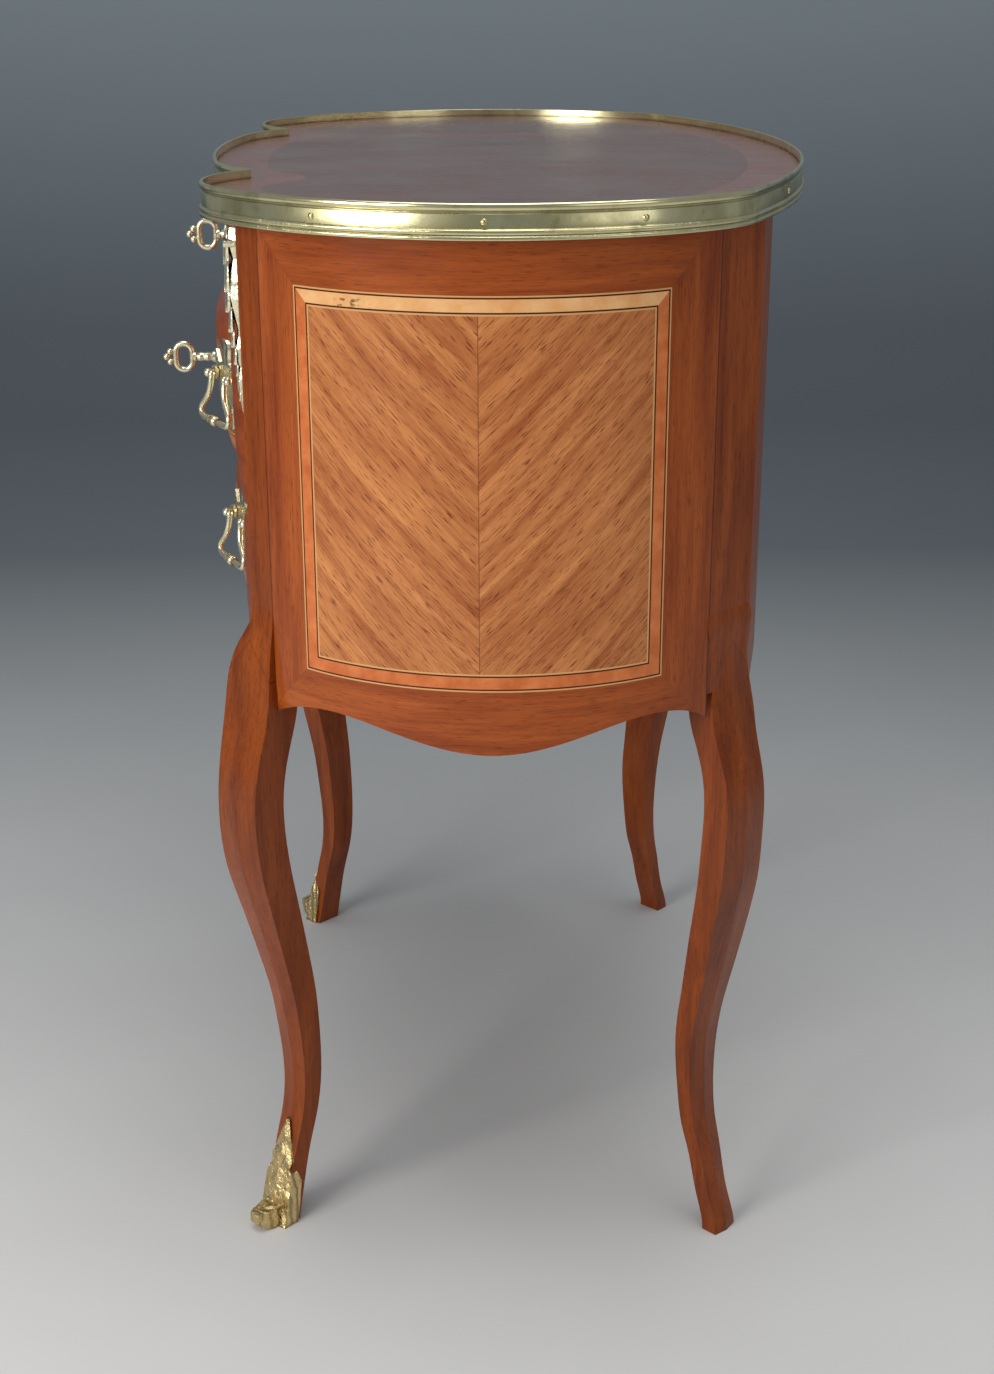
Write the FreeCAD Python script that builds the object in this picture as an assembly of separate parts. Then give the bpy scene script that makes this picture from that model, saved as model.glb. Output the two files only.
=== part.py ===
import FreeCAD, Part
import os
from math import asin, atan2, cos, degrees, hypot, pi, radians, sin, sqrt, tan

# A small three-drawer commode on cabriole legs, in millimetres.
# +Z is up, the drawers open towards -Y, and +X is the chest's right side seen from the front.
# The plan is drawn about the line through the centres of the two round ends, Y = 0, and the
# finished pieces are then moved so that the origin is under the middle of the whole chest.

V = FreeCAD.Vector

# Overall sizes
WIDTH = 700.0
HEIGHT = 750.0
FRONT_REACH = 202.0
BACK_REACH = 220.0

# Clearances
OVERRUN = 5.0
DRAWER_GAP = 0.8
RUNNING_GAP = 0.3
SEAT_GAP = 0.4
SCREW_GAP = 0.2

# Outline of the top, over its brass edge
END_RADIUS = 213.0
MIDDLE_RADIUS = 560.0
SHOULDER_RADIUS = 110.0
LOBE_RADIUS = 80.0
CUSP_X = 156.0
CUSP_DEPTH = 37.0
BACK_RADIUS = 620.0
REAR_CORNER_RADIUS = 90.0

# Top board and its brass edge
BOARD_THICKNESS = 15.0
GALLERY_HEIGHT = 21.0
GALLERY_RELIEF = 2.2
GALLERY_WALL = 3.2
GALLERY_HEIGHT_SHARES = (0.0, 0.1, 0.13, 0.17, 0.23, 0.28, 0.31, 0.71, 0.735, 0.765, 0.8, 0.88, 0.96, 1.0)
GALLERY_RELIEF_SHARES = (1.0, 1.0, 0.62, 0.95, 1.0, 0.8, 0.35, 0.35, 0.05, 0.05, 0.55, 0.8, 0.65, 0.25)
GALLERY_BAND_SHARE = 0.5
GALLERY_BAND_RELIEF_SHARE = 0.35
PIN_HEAD_RADIUS = 2.1
PIN_HEAD_HEIGHT = 1.35
PIN_SHANK_RADIUS = 0.8
PIN_LENGTH = 10.0
PIN_MIDDLE_SHARES = (0.32, 0.68)
PIN_LOBE_SHARES = (0.32,)
PIN_END_SHARES = (0.25, 0.56, 0.84)
PIN_BACK_SHARES = (0.14, 0.5, 0.86)

# Carcase
POST_BOTTOM_DROP = 326.0
POST_BOTTOM_Z = HEIGHT - POST_BOTTOM_DROP
SIDE_OVERHANG = 20.0
PANEL_THICKNESS = 20.0
FRONT_JOINT_Y = 150.0
REAR_JOINT_Y = 135.0
FRONT_STILE_WIDTH = 20.0
REAR_STILE_WIDTH = 42.0
FRONT_STRIP = 14.3
FRONT_POST_DEPTH = 44.0
REAR_POST_DEPTH = 52.0
BACK_APEX = 195.0
BACK_THICKNESS = 12.0
CASE_BOTTOM_DROP = 346.0
CASE_BOTTOM_Z = HEIGHT - CASE_BOTTOM_DROP
APRON_RISE = 18.0
APRON_PLACE_SHARES = (-1.0, -0.86, -0.68, -0.42, -0.18, 0.0, 0.18, 0.42, 0.68, 0.86, 1.0)
APRON_RISE_SHARES = (-0.15, 0.78, 1.0, 0.6, 0.14, 0.0, 0.14, 0.6, 1.0, 0.78, -0.15)

# Plan of the drawer fronts and rails
CASE_FRONT = 182.0
CASE_CUSP = 148.0
CASE_LOBE = 167.0
CASE_LOBE_X = 206.0
CASE_SHOULDER_RADIUS = 105.0
SIDE_BULGE_SHARE = 0.35
FRONT_BACK_Y = 132.0
HOLLOW_Y = 158.0
RAIL_HOLLOW_HALF = 114.0
FRONT_HOLLOW_HALF = 136.0
HOLLOW_SLOPE = 14.0

# Heights of the three drawer fronts, bottom and top, and how far the middle lobe of each stands out
# at its lower edge, at its crown and at its upper edge
FRIEZE_FRONT_DROPS = (86.0, 33.0)
MIDDLE_FRONT_DROPS = (209.0, 93.0)
LOWER_FRONT_DROPS = (320.0, 216.0)
FRIEZE_FRONT_Z = tuple(HEIGHT - drop for drop in FRIEZE_FRONT_DROPS)
MIDDLE_FRONT_Z = tuple(HEIGHT - drop for drop in MIDDLE_FRONT_DROPS)
LOWER_FRONT_Z = tuple(HEIGHT - drop for drop in LOWER_FRONT_DROPS)
FRIEZE_BULGE = (0.0, 0.6, 0.0)
MIDDLE_BULGE = (12.5, 23.0, 11.0)
LOWER_BULGE = (7.0, 14.0, 8.0)
CROWN_SHARE = 0.58
LOWER_EDGE_POWER = 2.4
UPPER_EDGE_POWER = 7.0
BULGE_SECTIONS = 8

# Rails, runners and boards
RAIL_THICKNESS = 16.0
BOTTOM_RUNNER = 6.0
RAIL_SETBACK = 2.0
RAIL_BACK_Y = 95.0
LIP_BACK_Y = 125.0
RUNNER_WIDTH = 36.0
GUIDE_WIDTH = 14.0
GUIDE_HEIGHT = 10.0
DUST_BOARD = 5.0
BOTTOM_BOARD = 8.0
REAR_RAIL_DEPTH = 24.0
REAR_RAIL_HEIGHT = 18.0
SCREW_RADIUS = 2.2
SCREW_HEAD_RADIUS = 4.5
SCREW_HEAD_HEIGHT = 2.8
SCREW_BITE = 10.0
SCREW_PLACE_SHARES = (-0.55, 0.0, 0.55)

# Drawer boxes
BOX_SIDE_GAP = 1.2
BOX_SIDE = 9.0
BOX_BACK = 9.0
BOX_BACK_Y = 122.0
BOX_TOP_DROP = 12.0
BOX_GROOVE = 4.0
BOX_BOTTOM = 5.0
BOX_BOTTOM_UP = 5.0
TAIL_DEPTH = 10.0
TAIL_SLOPE = 2.5
TAIL_PITCH = 24.0

# Keys and locks
KEY_VISIBLE = 42.5
KEY_SHANK_RADIUS = 2.6
KEY_BOW_WIDTH = 16.8
KEY_BOW_HEIGHT = 24.0
KEY_BOW_WIRE = 2.2
KEY_BARREL_RADIUS = 4.2
KEY_BARREL_PLACE_SHARES = (0.0, 0.06, 0.14, 0.2, 0.3, 0.44, 0.58, 0.7, 0.78, 0.86, 0.94, 0.97)
KEY_BARREL_RADIUS_SHARES = (0.5, 0.85, 0.85, 0.68, 0.8, 0.7, 0.8, 0.68, 1.0, 1.0, 0.78, 0.72)
KEY_FOIL_RADIUS = 2.6
KEY_FOIL_REACH = 7.4
KEY_FOIL_SPREAD_SHARE = 1.45
KEY_FOIL_LAG_SHARE = 1.1
KEY_BIT_REACH = 10.5
KEY_BIT_WIDTH = 2.4
KEY_BIT_LENGTH = 6.0
KEYHOLE_RADIUS = 4.0
KEYHOLE_SLOT_WIDTH = 4.0
KEYHOLE_SLOT_REACH = 12.5
LOCK_WIDTH = 62.0
LOCK_DEPTH = 14.0
LOCK_WALL = 2.2
LOCK_BELOW_KEY = 13.0
BOLT_WIDTH = 9.0
BOLT_DEPTH = 3.6
BOLT_THROW = 7.0
FRIEZE_KEY_DROP = 62.5
MIDDLE_KEY_DROP = 153.5
FRIEZE_KEY_Z = HEIGHT - FRIEZE_KEY_DROP
MIDDLE_KEY_Z = HEIGHT - MIDDLE_KEY_DROP

# Escutcheons, and the bail handles of the middle and lower drawers
PLATE_THICKNESS = 2.5
ESCUTCHEON_WIDTH = 34.0
ESCUTCHEON_HEIGHT = 46.0
ESCUTCHEON_WIDTH_SHARES = (0.0, 0.34, 0.3, 0.62, 1.0, 0.66, 0.78, 0.4, 0.3, 0.0)
ESCUTCHEON_HEIGHT_SHARES = (1.0, 0.82, 0.62, 0.5, 0.24, -0.02, -0.36, -0.52, -0.78, -1.0)
HANDLE_X = 121.0
MIDDLE_HANDLE_DROP = 150.0
LOWER_HANDLE_DROP = 251.5
MIDDLE_HANDLE_Z = HEIGHT - MIDDLE_HANDLE_DROP
LOWER_HANDLE_Z = HEIGHT - LOWER_HANDLE_DROP
HANDLE_WIDTH = 48.0
HANDLE_HEIGHT = 64.0
HANDLE_WIDTH_SHARES = (0.0, 0.22, 0.2, 0.44, 0.86, 1.0, 0.94, 0.72, 0.5, 0.52, 0.24, 0.2, 0.0)
HANDLE_HEIGHT_SHARES = (1.0, 0.8, 0.5, 0.42, 0.68, 0.5, 0.16, -0.12, -0.2, -0.44, -0.5, -0.78, -1.0)
POST_SPACING = 36.4
POST_RADIUS = 3.2
POST_STEM_SHARE = 0.7
POST_REACH = 5.6
POST_LIFT = 6.0
POST_BASE_RADIUS = 4.8
POST_BASE_HEIGHT = 1.6
POST_BOLT_RADIUS = 2.0
POST_BOLT_TIP = 1.5
NUT_RADIUS = 5.5
NUT_THICKNESS = 2.5
NUT_GAP = 0.3
NUT_WELL_GAP = 0.6
BAIL_PIN_RADIUS = 1.6
BAIL_PIN_GAP = 0.1
BAIL_WIRE = 2.2
BAIL_EYE_SHARE = 1.2
BAIL_SPREAD = 51.0
BAIL_DROP = 31.0
BAIL_LEAN = 8.0
BAIL_SPREAD_SHARES = (0.47, 0.47, 0.53, 0.76, 0.98, 0.95, 0.7, 0.36, 0.0)
BAIL_DROP_SHARES = (0.0, 0.2, 0.38, 0.62, 0.82, 0.94, 1.0, 1.0, 1.0)
BAIL_KNOP_RADIUS = 3.6
BAIL_COLLAR_RADIUS = 3.0
BAIL_COLLAR_THICKNESS = 1.3
BAIL_COLLAR_SPACING = 13.0

# Chutes on the front stiles, and sabots on the front feet
CHUTE_TOP_DROP = 22.0
CHUTE_TOP_Z = HEIGHT - CHUTE_TOP_DROP
CHUTE_LENGTH = 122.0
CHUTE_WIDTH = 12.6
CHUTE_RELIEF = 9.0
CHUTE_DROP_SHARES = (0.0, 0.04, 0.1, 0.16, 0.2, 0.24, 0.31, 0.4, 0.5, 0.56, 0.6,
                     0.66, 0.72, 0.76, 0.82, 0.88, 0.93, 1.0)
CHUTE_WIDTH_SHARES = (0.3, 0.8, 1.0, 0.8, 0.5, 0.62, 0.86, 0.94, 0.62, 0.36, 0.3,
                      0.56, 0.5, 0.28, 0.44, 0.36, 0.2, 0.06)
CHUTE_RELIEF_SHARES = (0.3, 0.72, 0.9, 0.62, 0.44, 0.62, 0.94, 0.9, 0.5, 0.24, 0.3,
                       0.56, 0.5, 0.26, 0.44, 0.4, 0.26, 0.12)
CHUTE_SECTION_SHARES = ((-1.0, 0.0), (-0.8, 0.6), (-0.34, 0.78), (0.0, 1.0), (0.34, 0.78), (0.8, 0.6), (1.0, 0.0))
CHUTE_VOLUTE_RADIUS = 3.2
CHUTE_VOLUTE_DROP = 14.0
CHUTE_VOLUTE_REACH = 8.0
CHUTE_VOLUTE_SPACING = 6.2
SABOT_HEIGHT = 80.0
SABOT_HEIGHT_SHARES = (0.0, 0.2, 0.42, 0.5, 0.54, 0.62, 0.72, 0.86, 1.0)
SABOT_WIDTH_SHARES = (1.0, 1.0, 1.0, 0.9, 0.7, 0.82, 0.6, 0.36, 0.1)
SABOT_REACH_SHARES = (0.75, 0.7, 0.6, 0.35, 0.2, 0.3, 0.2, 0.1, 0.0)
SABOT_SKIN = 2.4
SABOT_TOE = 19.0
SABOT_TOE_HEIGHT = 17.0
SABOT_TOE_WIDTH = 17.0
SABOT_TOE_SHARES = ((-0.2, 0.0, 1.0, 1.0), (0.3, 0.0, 0.92, 0.95), (0.6, 0.06, 0.86, 0.8),
                    (0.85, 0.22, 0.9, 0.66), (1.0, 0.42, 0.78, 0.5))

# Legs: height to the knee, greatest outward swing, width and depth of the section at the knee
LEG_TOP_DROP = 320.0
LEG_HEIGHT = HEIGHT - LEG_TOP_DROP
KNEE_TOP_DROP = 272.0
KNEE_TOP_Z = HEIGHT - KNEE_TOP_DROP
LEG_SWING = 22.0
LEG_WIDTH = 42.0
LEG_DEPTH = 25.0
LEG_RIDGE = 1.8
KNEE_RIDGE = 0.09
LEG_HEIGHT_SHARES = (0.0, 0.05, 0.1, 0.15, 0.23, 0.3, 0.37, 0.44, 0.51, 0.58, 0.65, 0.72, 0.79, 0.86, 0.93, 1.0)
FRONT_SWING_SHARES = (0.3, 0.06, -0.16, -0.42, -0.8, -0.81, -0.66, -0.42,
                      -0.06, 0.32, 0.71, 0.95, 1.0, 0.83, 0.5, 0.27)
FRONT_WIDTH_SHARES = (0.56, 0.54, 0.53, 0.53, 0.54, 0.57, 0.61, 0.65,
                      0.73, 0.82, 0.92, 0.95, 0.93, 0.96, 1.04, 1.0)
FRONT_DEPTH_SHARES = (0.58, 0.56, 0.56, 0.57, 0.6, 0.66, 0.73, 0.81,
                      0.88, 0.94, 0.99, 1.0, 1.0, 1.02, 1.04, 1.04)
REAR_SWING_SHARES = (0.66, 0.4, 0.12, -0.12, -0.48, -0.55, -0.46, -0.19,
                     0.1, 0.38, 0.63, 0.73, 0.77, 0.55, 0.17, -0.03)
REAR_WIDTH_SHARES = (0.52, 0.5, 0.5, 0.54, 0.61, 0.67, 0.72, 0.75,
                     0.87, 0.96, 1.0, 1.0, 0.97, 0.97, 1.06, 0.91)
REAR_DEPTH_SHARES = (0.5, 0.48, 0.48, 0.48, 0.48, 0.52, 0.6, 0.68,
                     0.72, 0.76, 0.8, 0.8, 0.8, 0.78, 0.8, 0.8)
REAR_LEG_SHIFT = 5.0

# Heights that follow from these
GALLERY_BOTTOM = HEIGHT - GALLERY_HEIGHT
CASE_TOP = GALLERY_BOTTOM
BOARD_TOP = CASE_TOP + BOARD_THICKNESS
END_CENTRE_X = WIDTH / 2 - END_RADIUS
SIDE_RADIUS = END_RADIUS - SIDE_OVERHANG
KEY_REACH = CASE_FRONT + MIDDLE_BULGE[1] + PLATE_THICKNESS + KEY_VISIBLE
MIDDLE_LINE_Y = (KEY_REACH - BACK_REACH) / 2


def crossings(centre_a, radius_a, centre_b, radius_b):
    """Both points where two circles of the plan cross."""
    dx = centre_b[0] - centre_a[0]
    dy = centre_b[1] - centre_a[1]
    apart = hypot(dx, dy)
    along = (radius_a ** 2 - radius_b ** 2 + apart ** 2) / (2 * apart)
    across = sqrt(radius_a ** 2 - along ** 2)
    foot = (centre_a[0] + dx * along / apart, centre_a[1] + dy * along / apart)
    step = (-dy * across / apart, dx * across / apart)
    return (foot[0] + step[0], foot[1] + step[1]), (foot[0] - step[0], foot[1] - step[1])


def touch_point(outer_centre, inner_centre, radius):
    """Where a circle about outer_centre touches one about inner_centre that lies inside it."""
    dx = inner_centre[0] - outer_centre[0]
    dy = inner_centre[1] - outer_centre[1]
    reach = hypot(dx, dy)
    return outer_centre[0] + dx * radius / reach, outer_centre[1] + dy * radius / reach


def arc(centre, radius, start, end, z):
    """The shorter arc about centre from start to end, at height z."""
    mid_x = (start[0] + end[0]) / 2 - centre[0]
    mid_y = (start[1] + end[1]) / 2 - centre[1]
    reach = hypot(mid_x, mid_y)
    middle = (centre[0] + mid_x * radius / reach, centre[1] + mid_y * radius / reach)
    return three_point_arc(start, middle, end, z)


def three_point_arc(start, middle, end, z):
    return Part.Arc(V(start[0], start[1], z), V(middle[0], middle[1], z), V(end[0], end[1], z)).toShape()


def line(start, end, z):
    return Part.makeLine(V(start[0], start[1], z), V(end[0], end[1], z))


def flip(point):
    return -point[0], point[1]


def box(x_range, y_range, z_range):
    corner = V(x_range[0], y_range[0], z_range[0])
    return Part.makeBox(x_range[1] - x_range[0], y_range[1] - y_range[0], z_range[1] - z_range[0], corner)


def prism(points, z_low, z_high):
    """An upright prism over a plan polygon."""
    corners = [V(x, y, z_low) for x, y in points]
    face = Part.Face(Part.makePolygon(corners + corners[:1]))
    return face.extrude(V(0, 0, z_high - z_low))


def upright(edges, z_low, z_high):
    """An upright solid over a closed plan outline drawn at z_low."""
    return Part.Face(Part.Wire(edges)).extrude(V(0, 0, z_high - z_low))


def mirrored(shape):
    return shape.mirror(V(0, 0, 0), V(1, 0, 0))


# Plan of the top: a long middle lobe, two cusps, two small lobes that run into the round ends,
# and a bowed back. Every arc keeps its centre when the outline is drawn further in.
MIDDLE_CENTRE = (0.0, MIDDLE_RADIUS - FRONT_REACH)
END_CENTRE = (END_CENTRE_X, 0.0)
BACK_CENTRE = (0.0, BACK_REACH - BACK_RADIUS)
TOP_CUSP = (CUSP_X, CUSP_DEPTH - FRONT_REACH)
SHOULDER_CENTRE = min(crossings(MIDDLE_CENTRE, MIDDLE_RADIUS - SHOULDER_RADIUS, TOP_CUSP, SHOULDER_RADIUS))
LOBE_CENTRE = max(crossings(END_CENTRE, END_RADIUS - LOBE_RADIUS, TOP_CUSP, LOBE_RADIUS))
CORNER_CENTRE = max(crossings(END_CENTRE, END_RADIUS - REAR_CORNER_RADIUS,
                              BACK_CENTRE, BACK_RADIUS - REAR_CORNER_RADIUS))


def top_outline(inset, z):
    """The closed outline of the top, drawn inset inside its brass edge."""
    middle_end = touch_point(MIDDLE_CENTRE, SHOULDER_CENTRE, MIDDLE_RADIUS - inset)
    cusp = min(crossings(SHOULDER_CENTRE, SHOULDER_RADIUS - inset, LOBE_CENTRE, LOBE_RADIUS - inset),
               key=lambda point: point[1])
    end_start = touch_point(END_CENTRE, LOBE_CENTRE, END_RADIUS - inset)
    end_end = touch_point(END_CENTRE, CORNER_CENTRE, END_RADIUS - inset)
    back_end = touch_point(BACK_CENTRE, CORNER_CENTRE, BACK_RADIUS - inset)
    half = [(SHOULDER_CENTRE, SHOULDER_RADIUS, middle_end, cusp),
            (LOBE_CENTRE, LOBE_RADIUS, cusp, end_start),
            (END_CENTRE, END_RADIUS, end_start, end_end),
            (CORNER_CENTRE, REAR_CORNER_RADIUS, end_end, back_end)]
    edges = [arc(MIDDLE_CENTRE, MIDDLE_RADIUS - inset, flip(middle_end), middle_end, z)]
    for centre, radius, start, end in half:
        edges.append(arc(centre, radius - inset, start, end, z))
    edges.append(arc(BACK_CENTRE, BACK_RADIUS - inset, back_end, flip(back_end), z))
    for centre, radius, start, end in reversed(half):
        edges.append(arc(flip(centre), radius - inset, flip(end), flip(start), z))
    return Part.Wire(edges)


def make_top_board():
    return upright(top_outline(GALLERY_WALL, CASE_TOP).Edges, CASE_TOP, BOARD_TOP)


def make_gallery():
    """The brass edge: a moulded band round the board, with a rim that stands above it."""
    wires = []
    for height_share, relief_share in zip(GALLERY_HEIGHT_SHARES, GALLERY_RELIEF_SHARES):
        z = GALLERY_BOTTOM + height_share * GALLERY_HEIGHT
        wires.append(top_outline((1 - relief_share) * GALLERY_RELIEF, z))
    outside = Part.makeLoft(wires, True, True)
    low = GALLERY_BOTTOM - OVERRUN
    inside = upright(top_outline(GALLERY_WALL, low).Edges, low, HEIGHT + OVERRUN)
    return outside.cut(inside)


def pin(place, outward):
    """A round-headed pin driven into the edge, its low dome on the band."""
    ball = (PIN_HEAD_RADIUS ** 2 + PIN_HEAD_HEIGHT ** 2) / (2 * PIN_HEAD_HEIGHT)
    sunk = ball - PIN_HEAD_HEIGHT
    head = Part.makeSphere(ball, place - outward * sunk, outward, degrees(asin(sunk / ball)), 90, 360)
    shank = Part.makeCylinder(PIN_SHANK_RADIUS, PIN_LENGTH, place, -outward)
    return head.fuse(shank)


def pins_on_arc(centre, radius, start, end, shares):
    """Pins in the edge along one arc of its outline, at shares of the way from start to end."""
    first = atan2(start[1] - centre[1], start[0] - centre[0])
    last = atan2(end[1] - centre[1], end[0] - centre[0])
    z = GALLERY_BOTTOM + GALLERY_BAND_SHARE * GALLERY_HEIGHT
    face = radius - (1 - GALLERY_BAND_RELIEF_SHARE) * GALLERY_RELIEF
    pins = []
    for share in shares:
        angle = first + share * (last - first)
        outward = V(cos(angle), sin(angle), 0)
        pins.append(pin(V(centre[0], centre[1], z) + outward * face, outward))
    return pins


def make_gallery_pins():
    middle_end = touch_point(MIDDLE_CENTRE, SHOULDER_CENTRE, MIDDLE_RADIUS)
    end_start = touch_point(END_CENTRE, LOBE_CENTRE, END_RADIUS)
    end_end = touch_point(END_CENTRE, CORNER_CENTRE, END_RADIUS)
    back_end = touch_point(BACK_CENTRE, CORNER_CENTRE, BACK_RADIUS)
    right = pins_on_arc(LOBE_CENTRE, LOBE_RADIUS, TOP_CUSP, end_start, PIN_LOBE_SHARES)
    right += pins_on_arc(END_CENTRE, END_RADIUS, end_start, end_end, PIN_END_SHARES)
    pins = right + [mirrored(shape) for shape in right]
    pins += pins_on_arc(MIDDLE_CENTRE, MIDDLE_RADIUS, flip(middle_end), middle_end, PIN_MIDDLE_SHARES)
    pins += pins_on_arc(BACK_CENTRE, BACK_RADIUS, back_end, flip(back_end), PIN_BACK_SHARES)
    return Part.makeCompound(pins)


# Corners of the carcase in plan. The side panels are parts of a round end, and a straight stile
# stands at each end of them, turned to face outwards at the corner.
def on_side(y, inset=0.0):
    radius = SIDE_RADIUS - inset
    return END_CENTRE_X + sqrt(radius ** 2 - y ** 2), y


FRONT_JOINT = on_side(-FRONT_JOINT_Y)
REAR_JOINT = on_side(REAR_JOINT_Y)
FRONT_CORNER = (FRONT_JOINT[0] - FRONT_STILE_WIDTH / sqrt(2), FRONT_JOINT[1] - FRONT_STILE_WIDTH / sqrt(2))
REAR_CORNER = (REAR_JOINT[0] - REAR_STILE_WIDTH / sqrt(2), REAR_JOINT[1] + REAR_STILE_WIDTH / sqrt(2))
OPENING_HALF = FRONT_CORNER[0] - FRONT_STRIP
BOX_HALF = OPENING_HALF - BOX_SIDE_GAP
REAR_POST_X = OPENING_HALF + OVERRUN
BACK_SAG = BACK_APEX - REAR_CORNER[1]
BACK_PANEL_RADIUS = (REAR_CORNER[0] ** 2 + BACK_SAG ** 2) / (2 * BACK_SAG)
BACK_PANEL_CENTRE = (0.0, BACK_APEX - BACK_PANEL_RADIUS)


def back_inner_y(x):
    return BACK_PANEL_CENTRE[1] + sqrt((BACK_PANEL_RADIUS - BACK_THICKNESS) ** 2 - x ** 2)


def front_post():
    back_y = FRONT_CORNER[1] + FRONT_POST_DEPTH
    hidden = on_side(back_y, PANEL_THICKNESS)
    plan = [FRONT_CORNER, FRONT_JOINT, hidden, (OPENING_HALF, back_y), (OPENING_HALF, FRONT_CORNER[1])]
    return prism(plan, POST_BOTTOM_Z, CASE_TOP)


def rear_post():
    front_y = REAR_CORNER[1] - REAR_POST_DEPTH
    hidden = on_side(front_y, PANEL_THICKNESS)
    inner = (REAR_POST_X, back_inner_y(REAR_POST_X))
    plan = [REAR_CORNER, REAR_JOINT, hidden, (REAR_POST_X, front_y), inner]
    return prism(plan, POST_BOTTOM_Z, CASE_TOP)


def leg_section(origin, outward, across, z, swing, width, depth, shift, ridge):
    """One level section of a leg: a rectangle turned to the corner, with a low ridge outside."""
    def place(out, side):
        point = origin + outward * out + across * (side + shift)
        return V(point.x, point.y, z)
    corners = [place(swing, width / 2), place(swing + ridge, 0), place(swing, -width / 2),
               place(swing - depth, -width / 2), place(swing - depth, width / 2)]
    return Part.makePolygon(corners + corners[:1])


def leg_shaft(origin, outward, across, swings, widths, depths, stile_width, stile_shift):
    """The curved leg, up to where its knee dies into the flat face of the stile."""
    sections = []
    for height, swing, width, depth in zip(LEG_HEIGHT_SHARES, swings, widths, depths):
        sections.append(leg_section(origin, outward, across, height * LEG_HEIGHT, swing * LEG_SWING,
                                    width * LEG_WIDTH, depth * LEG_DEPTH, 0, LEG_RIDGE))
    half_way = (LEG_HEIGHT + KNEE_TOP_Z) / 2
    width = (stile_width + widths[-1] * LEG_WIDTH) / 2
    sections.append(leg_section(origin, outward, across, half_way, swings[-1] * LEG_SWING / 2,
                                width, depths[-1] * LEG_DEPTH, stile_shift / 2, LEG_RIDGE / 2))
    sections.append(leg_section(origin, outward, across, KNEE_TOP_Z, 0,
                                stile_width, depths[-1] * LEG_DEPTH / 2, stile_shift, KNEE_RIDGE))
    return Part.makeLoft(sections, True, False)


def make_front_leg():
    outward = V(1, -1, 0).normalize()
    across = V(-1, -1, 0).normalize()
    origin = V(FRONT_CORNER[0], FRONT_CORNER[1], 0)
    shaft = leg_shaft(origin, outward, across, FRONT_SWING_SHARES, FRONT_WIDTH_SHARES, FRONT_DEPTH_SHARES,
                      FRONT_STILE_WIDTH, -FRONT_STILE_WIDTH / 2)
    drawer_space = box((0, OPENING_HALF), (-FRONT_REACH, 0), (LOWER_FRONT_Z[0] - DRAWER_GAP, CASE_TOP))
    return front_post().fuse(shaft.cut(drawer_space)).removeSplitter()


def make_rear_leg():
    outward = V(1, 1, 0).normalize()
    across = V(-1, 1, 0).normalize()
    middle = V((REAR_CORNER[0] + REAR_JOINT[0]) / 2, (REAR_CORNER[1] + REAR_JOINT[1]) / 2, 0)
    origin = middle + across * REAR_LEG_SHIFT
    shaft = leg_shaft(origin, outward, across, REAR_SWING_SHARES, REAR_WIDTH_SHARES, REAR_DEPTH_SHARES,
                      REAR_STILE_WIDTH, -REAR_LEG_SHIFT)
    case_space = box((0, REAR_POST_X), (0, BACK_REACH), (CASE_BOTTOM_Z, CASE_TOP))
    return rear_post().fuse(shaft.cut(case_space).cut(make_back_panel())).removeSplitter()


def apron_curve(half_length, middle, rise):
    """Points (place, height) of a shaped lower edge: it rises beside each leg and dips in the middle."""
    points = []
    for place_share, rise_share in zip(APRON_PLACE_SHARES, APRON_RISE_SHARES):
        points.append((middle + place_share * half_length, CASE_BOTTOM_Z + rise_share * rise))
    return points


def below_apron(half_length, middle, rise, along_x):
    """Everything under a shaped lower edge, to be cut away."""
    low = CASE_BOTTOM_Z - OVERRUN * 2
    reach = WIDTH
    if along_x:
        points = [V(place, -reach, z) for place, z in apron_curve(half_length, middle, rise)]
        ends = [V(points[-1].x, -reach, low), V(points[0].x, -reach, low)]
        sweep = V(0, reach * 2, 0)
    else:
        points = [V(0, place, z) for place, z in apron_curve(half_length, middle, rise)]
        ends = [V(0, points[-1].y, low), V(0, points[0].y, low)]
        sweep = V(reach, 0, 0)
    curve = Part.BSplineCurve()
    curve.interpolate(points)
    sides = Part.makePolygon([points[-1]] + ends + [points[0]])
    return Part.Face(Part.Wire([curve.toShape()] + sides.Edges)).extrude(sweep)


def make_side_panel():
    """A bent panel, veneered outside, with its lower edge cut to a shaped apron."""
    rear_hidden = on_side(REAR_CORNER[1] - REAR_POST_DEPTH, PANEL_THICKNESS)
    front_hidden = on_side(FRONT_CORNER[1] + FRONT_POST_DEPTH, PANEL_THICKNESS)
    low = CASE_BOTTOM_Z - OVERRUN
    edges = [arc(END_CENTRE, SIDE_RADIUS, FRONT_JOINT, REAR_JOINT, low),
             line(REAR_JOINT, rear_hidden, low),
             arc(END_CENTRE, SIDE_RADIUS - PANEL_THICKNESS, rear_hidden, front_hidden, low),
             line(front_hidden, FRONT_JOINT, low)]
    panel = upright(edges, low, CASE_TOP)
    half = (FRONT_JOINT_Y + REAR_JOINT_Y) / 2
    return panel.cut(below_apron(half + OVERRUN, (REAR_JOINT_Y - FRONT_JOINT_Y) / 2, APRON_RISE, False))


def make_back_panel():
    low = CASE_BOTTOM_Z - OVERRUN
    inner = (REAR_POST_X, back_inner_y(REAR_POST_X))
    edges = [arc(BACK_PANEL_CENTRE, BACK_PANEL_RADIUS, REAR_CORNER, flip(REAR_CORNER), low),
             line(flip(REAR_CORNER), flip(inner), low),
             arc(BACK_PANEL_CENTRE, BACK_PANEL_RADIUS - BACK_THICKNESS, flip(inner), inner, low),
             line(inner, REAR_CORNER, low)]
    panel = upright(edges, low, CASE_TOP)
    return panel.cut(below_apron(REAR_CORNER[0], 0, APRON_RISE, True))


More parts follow.
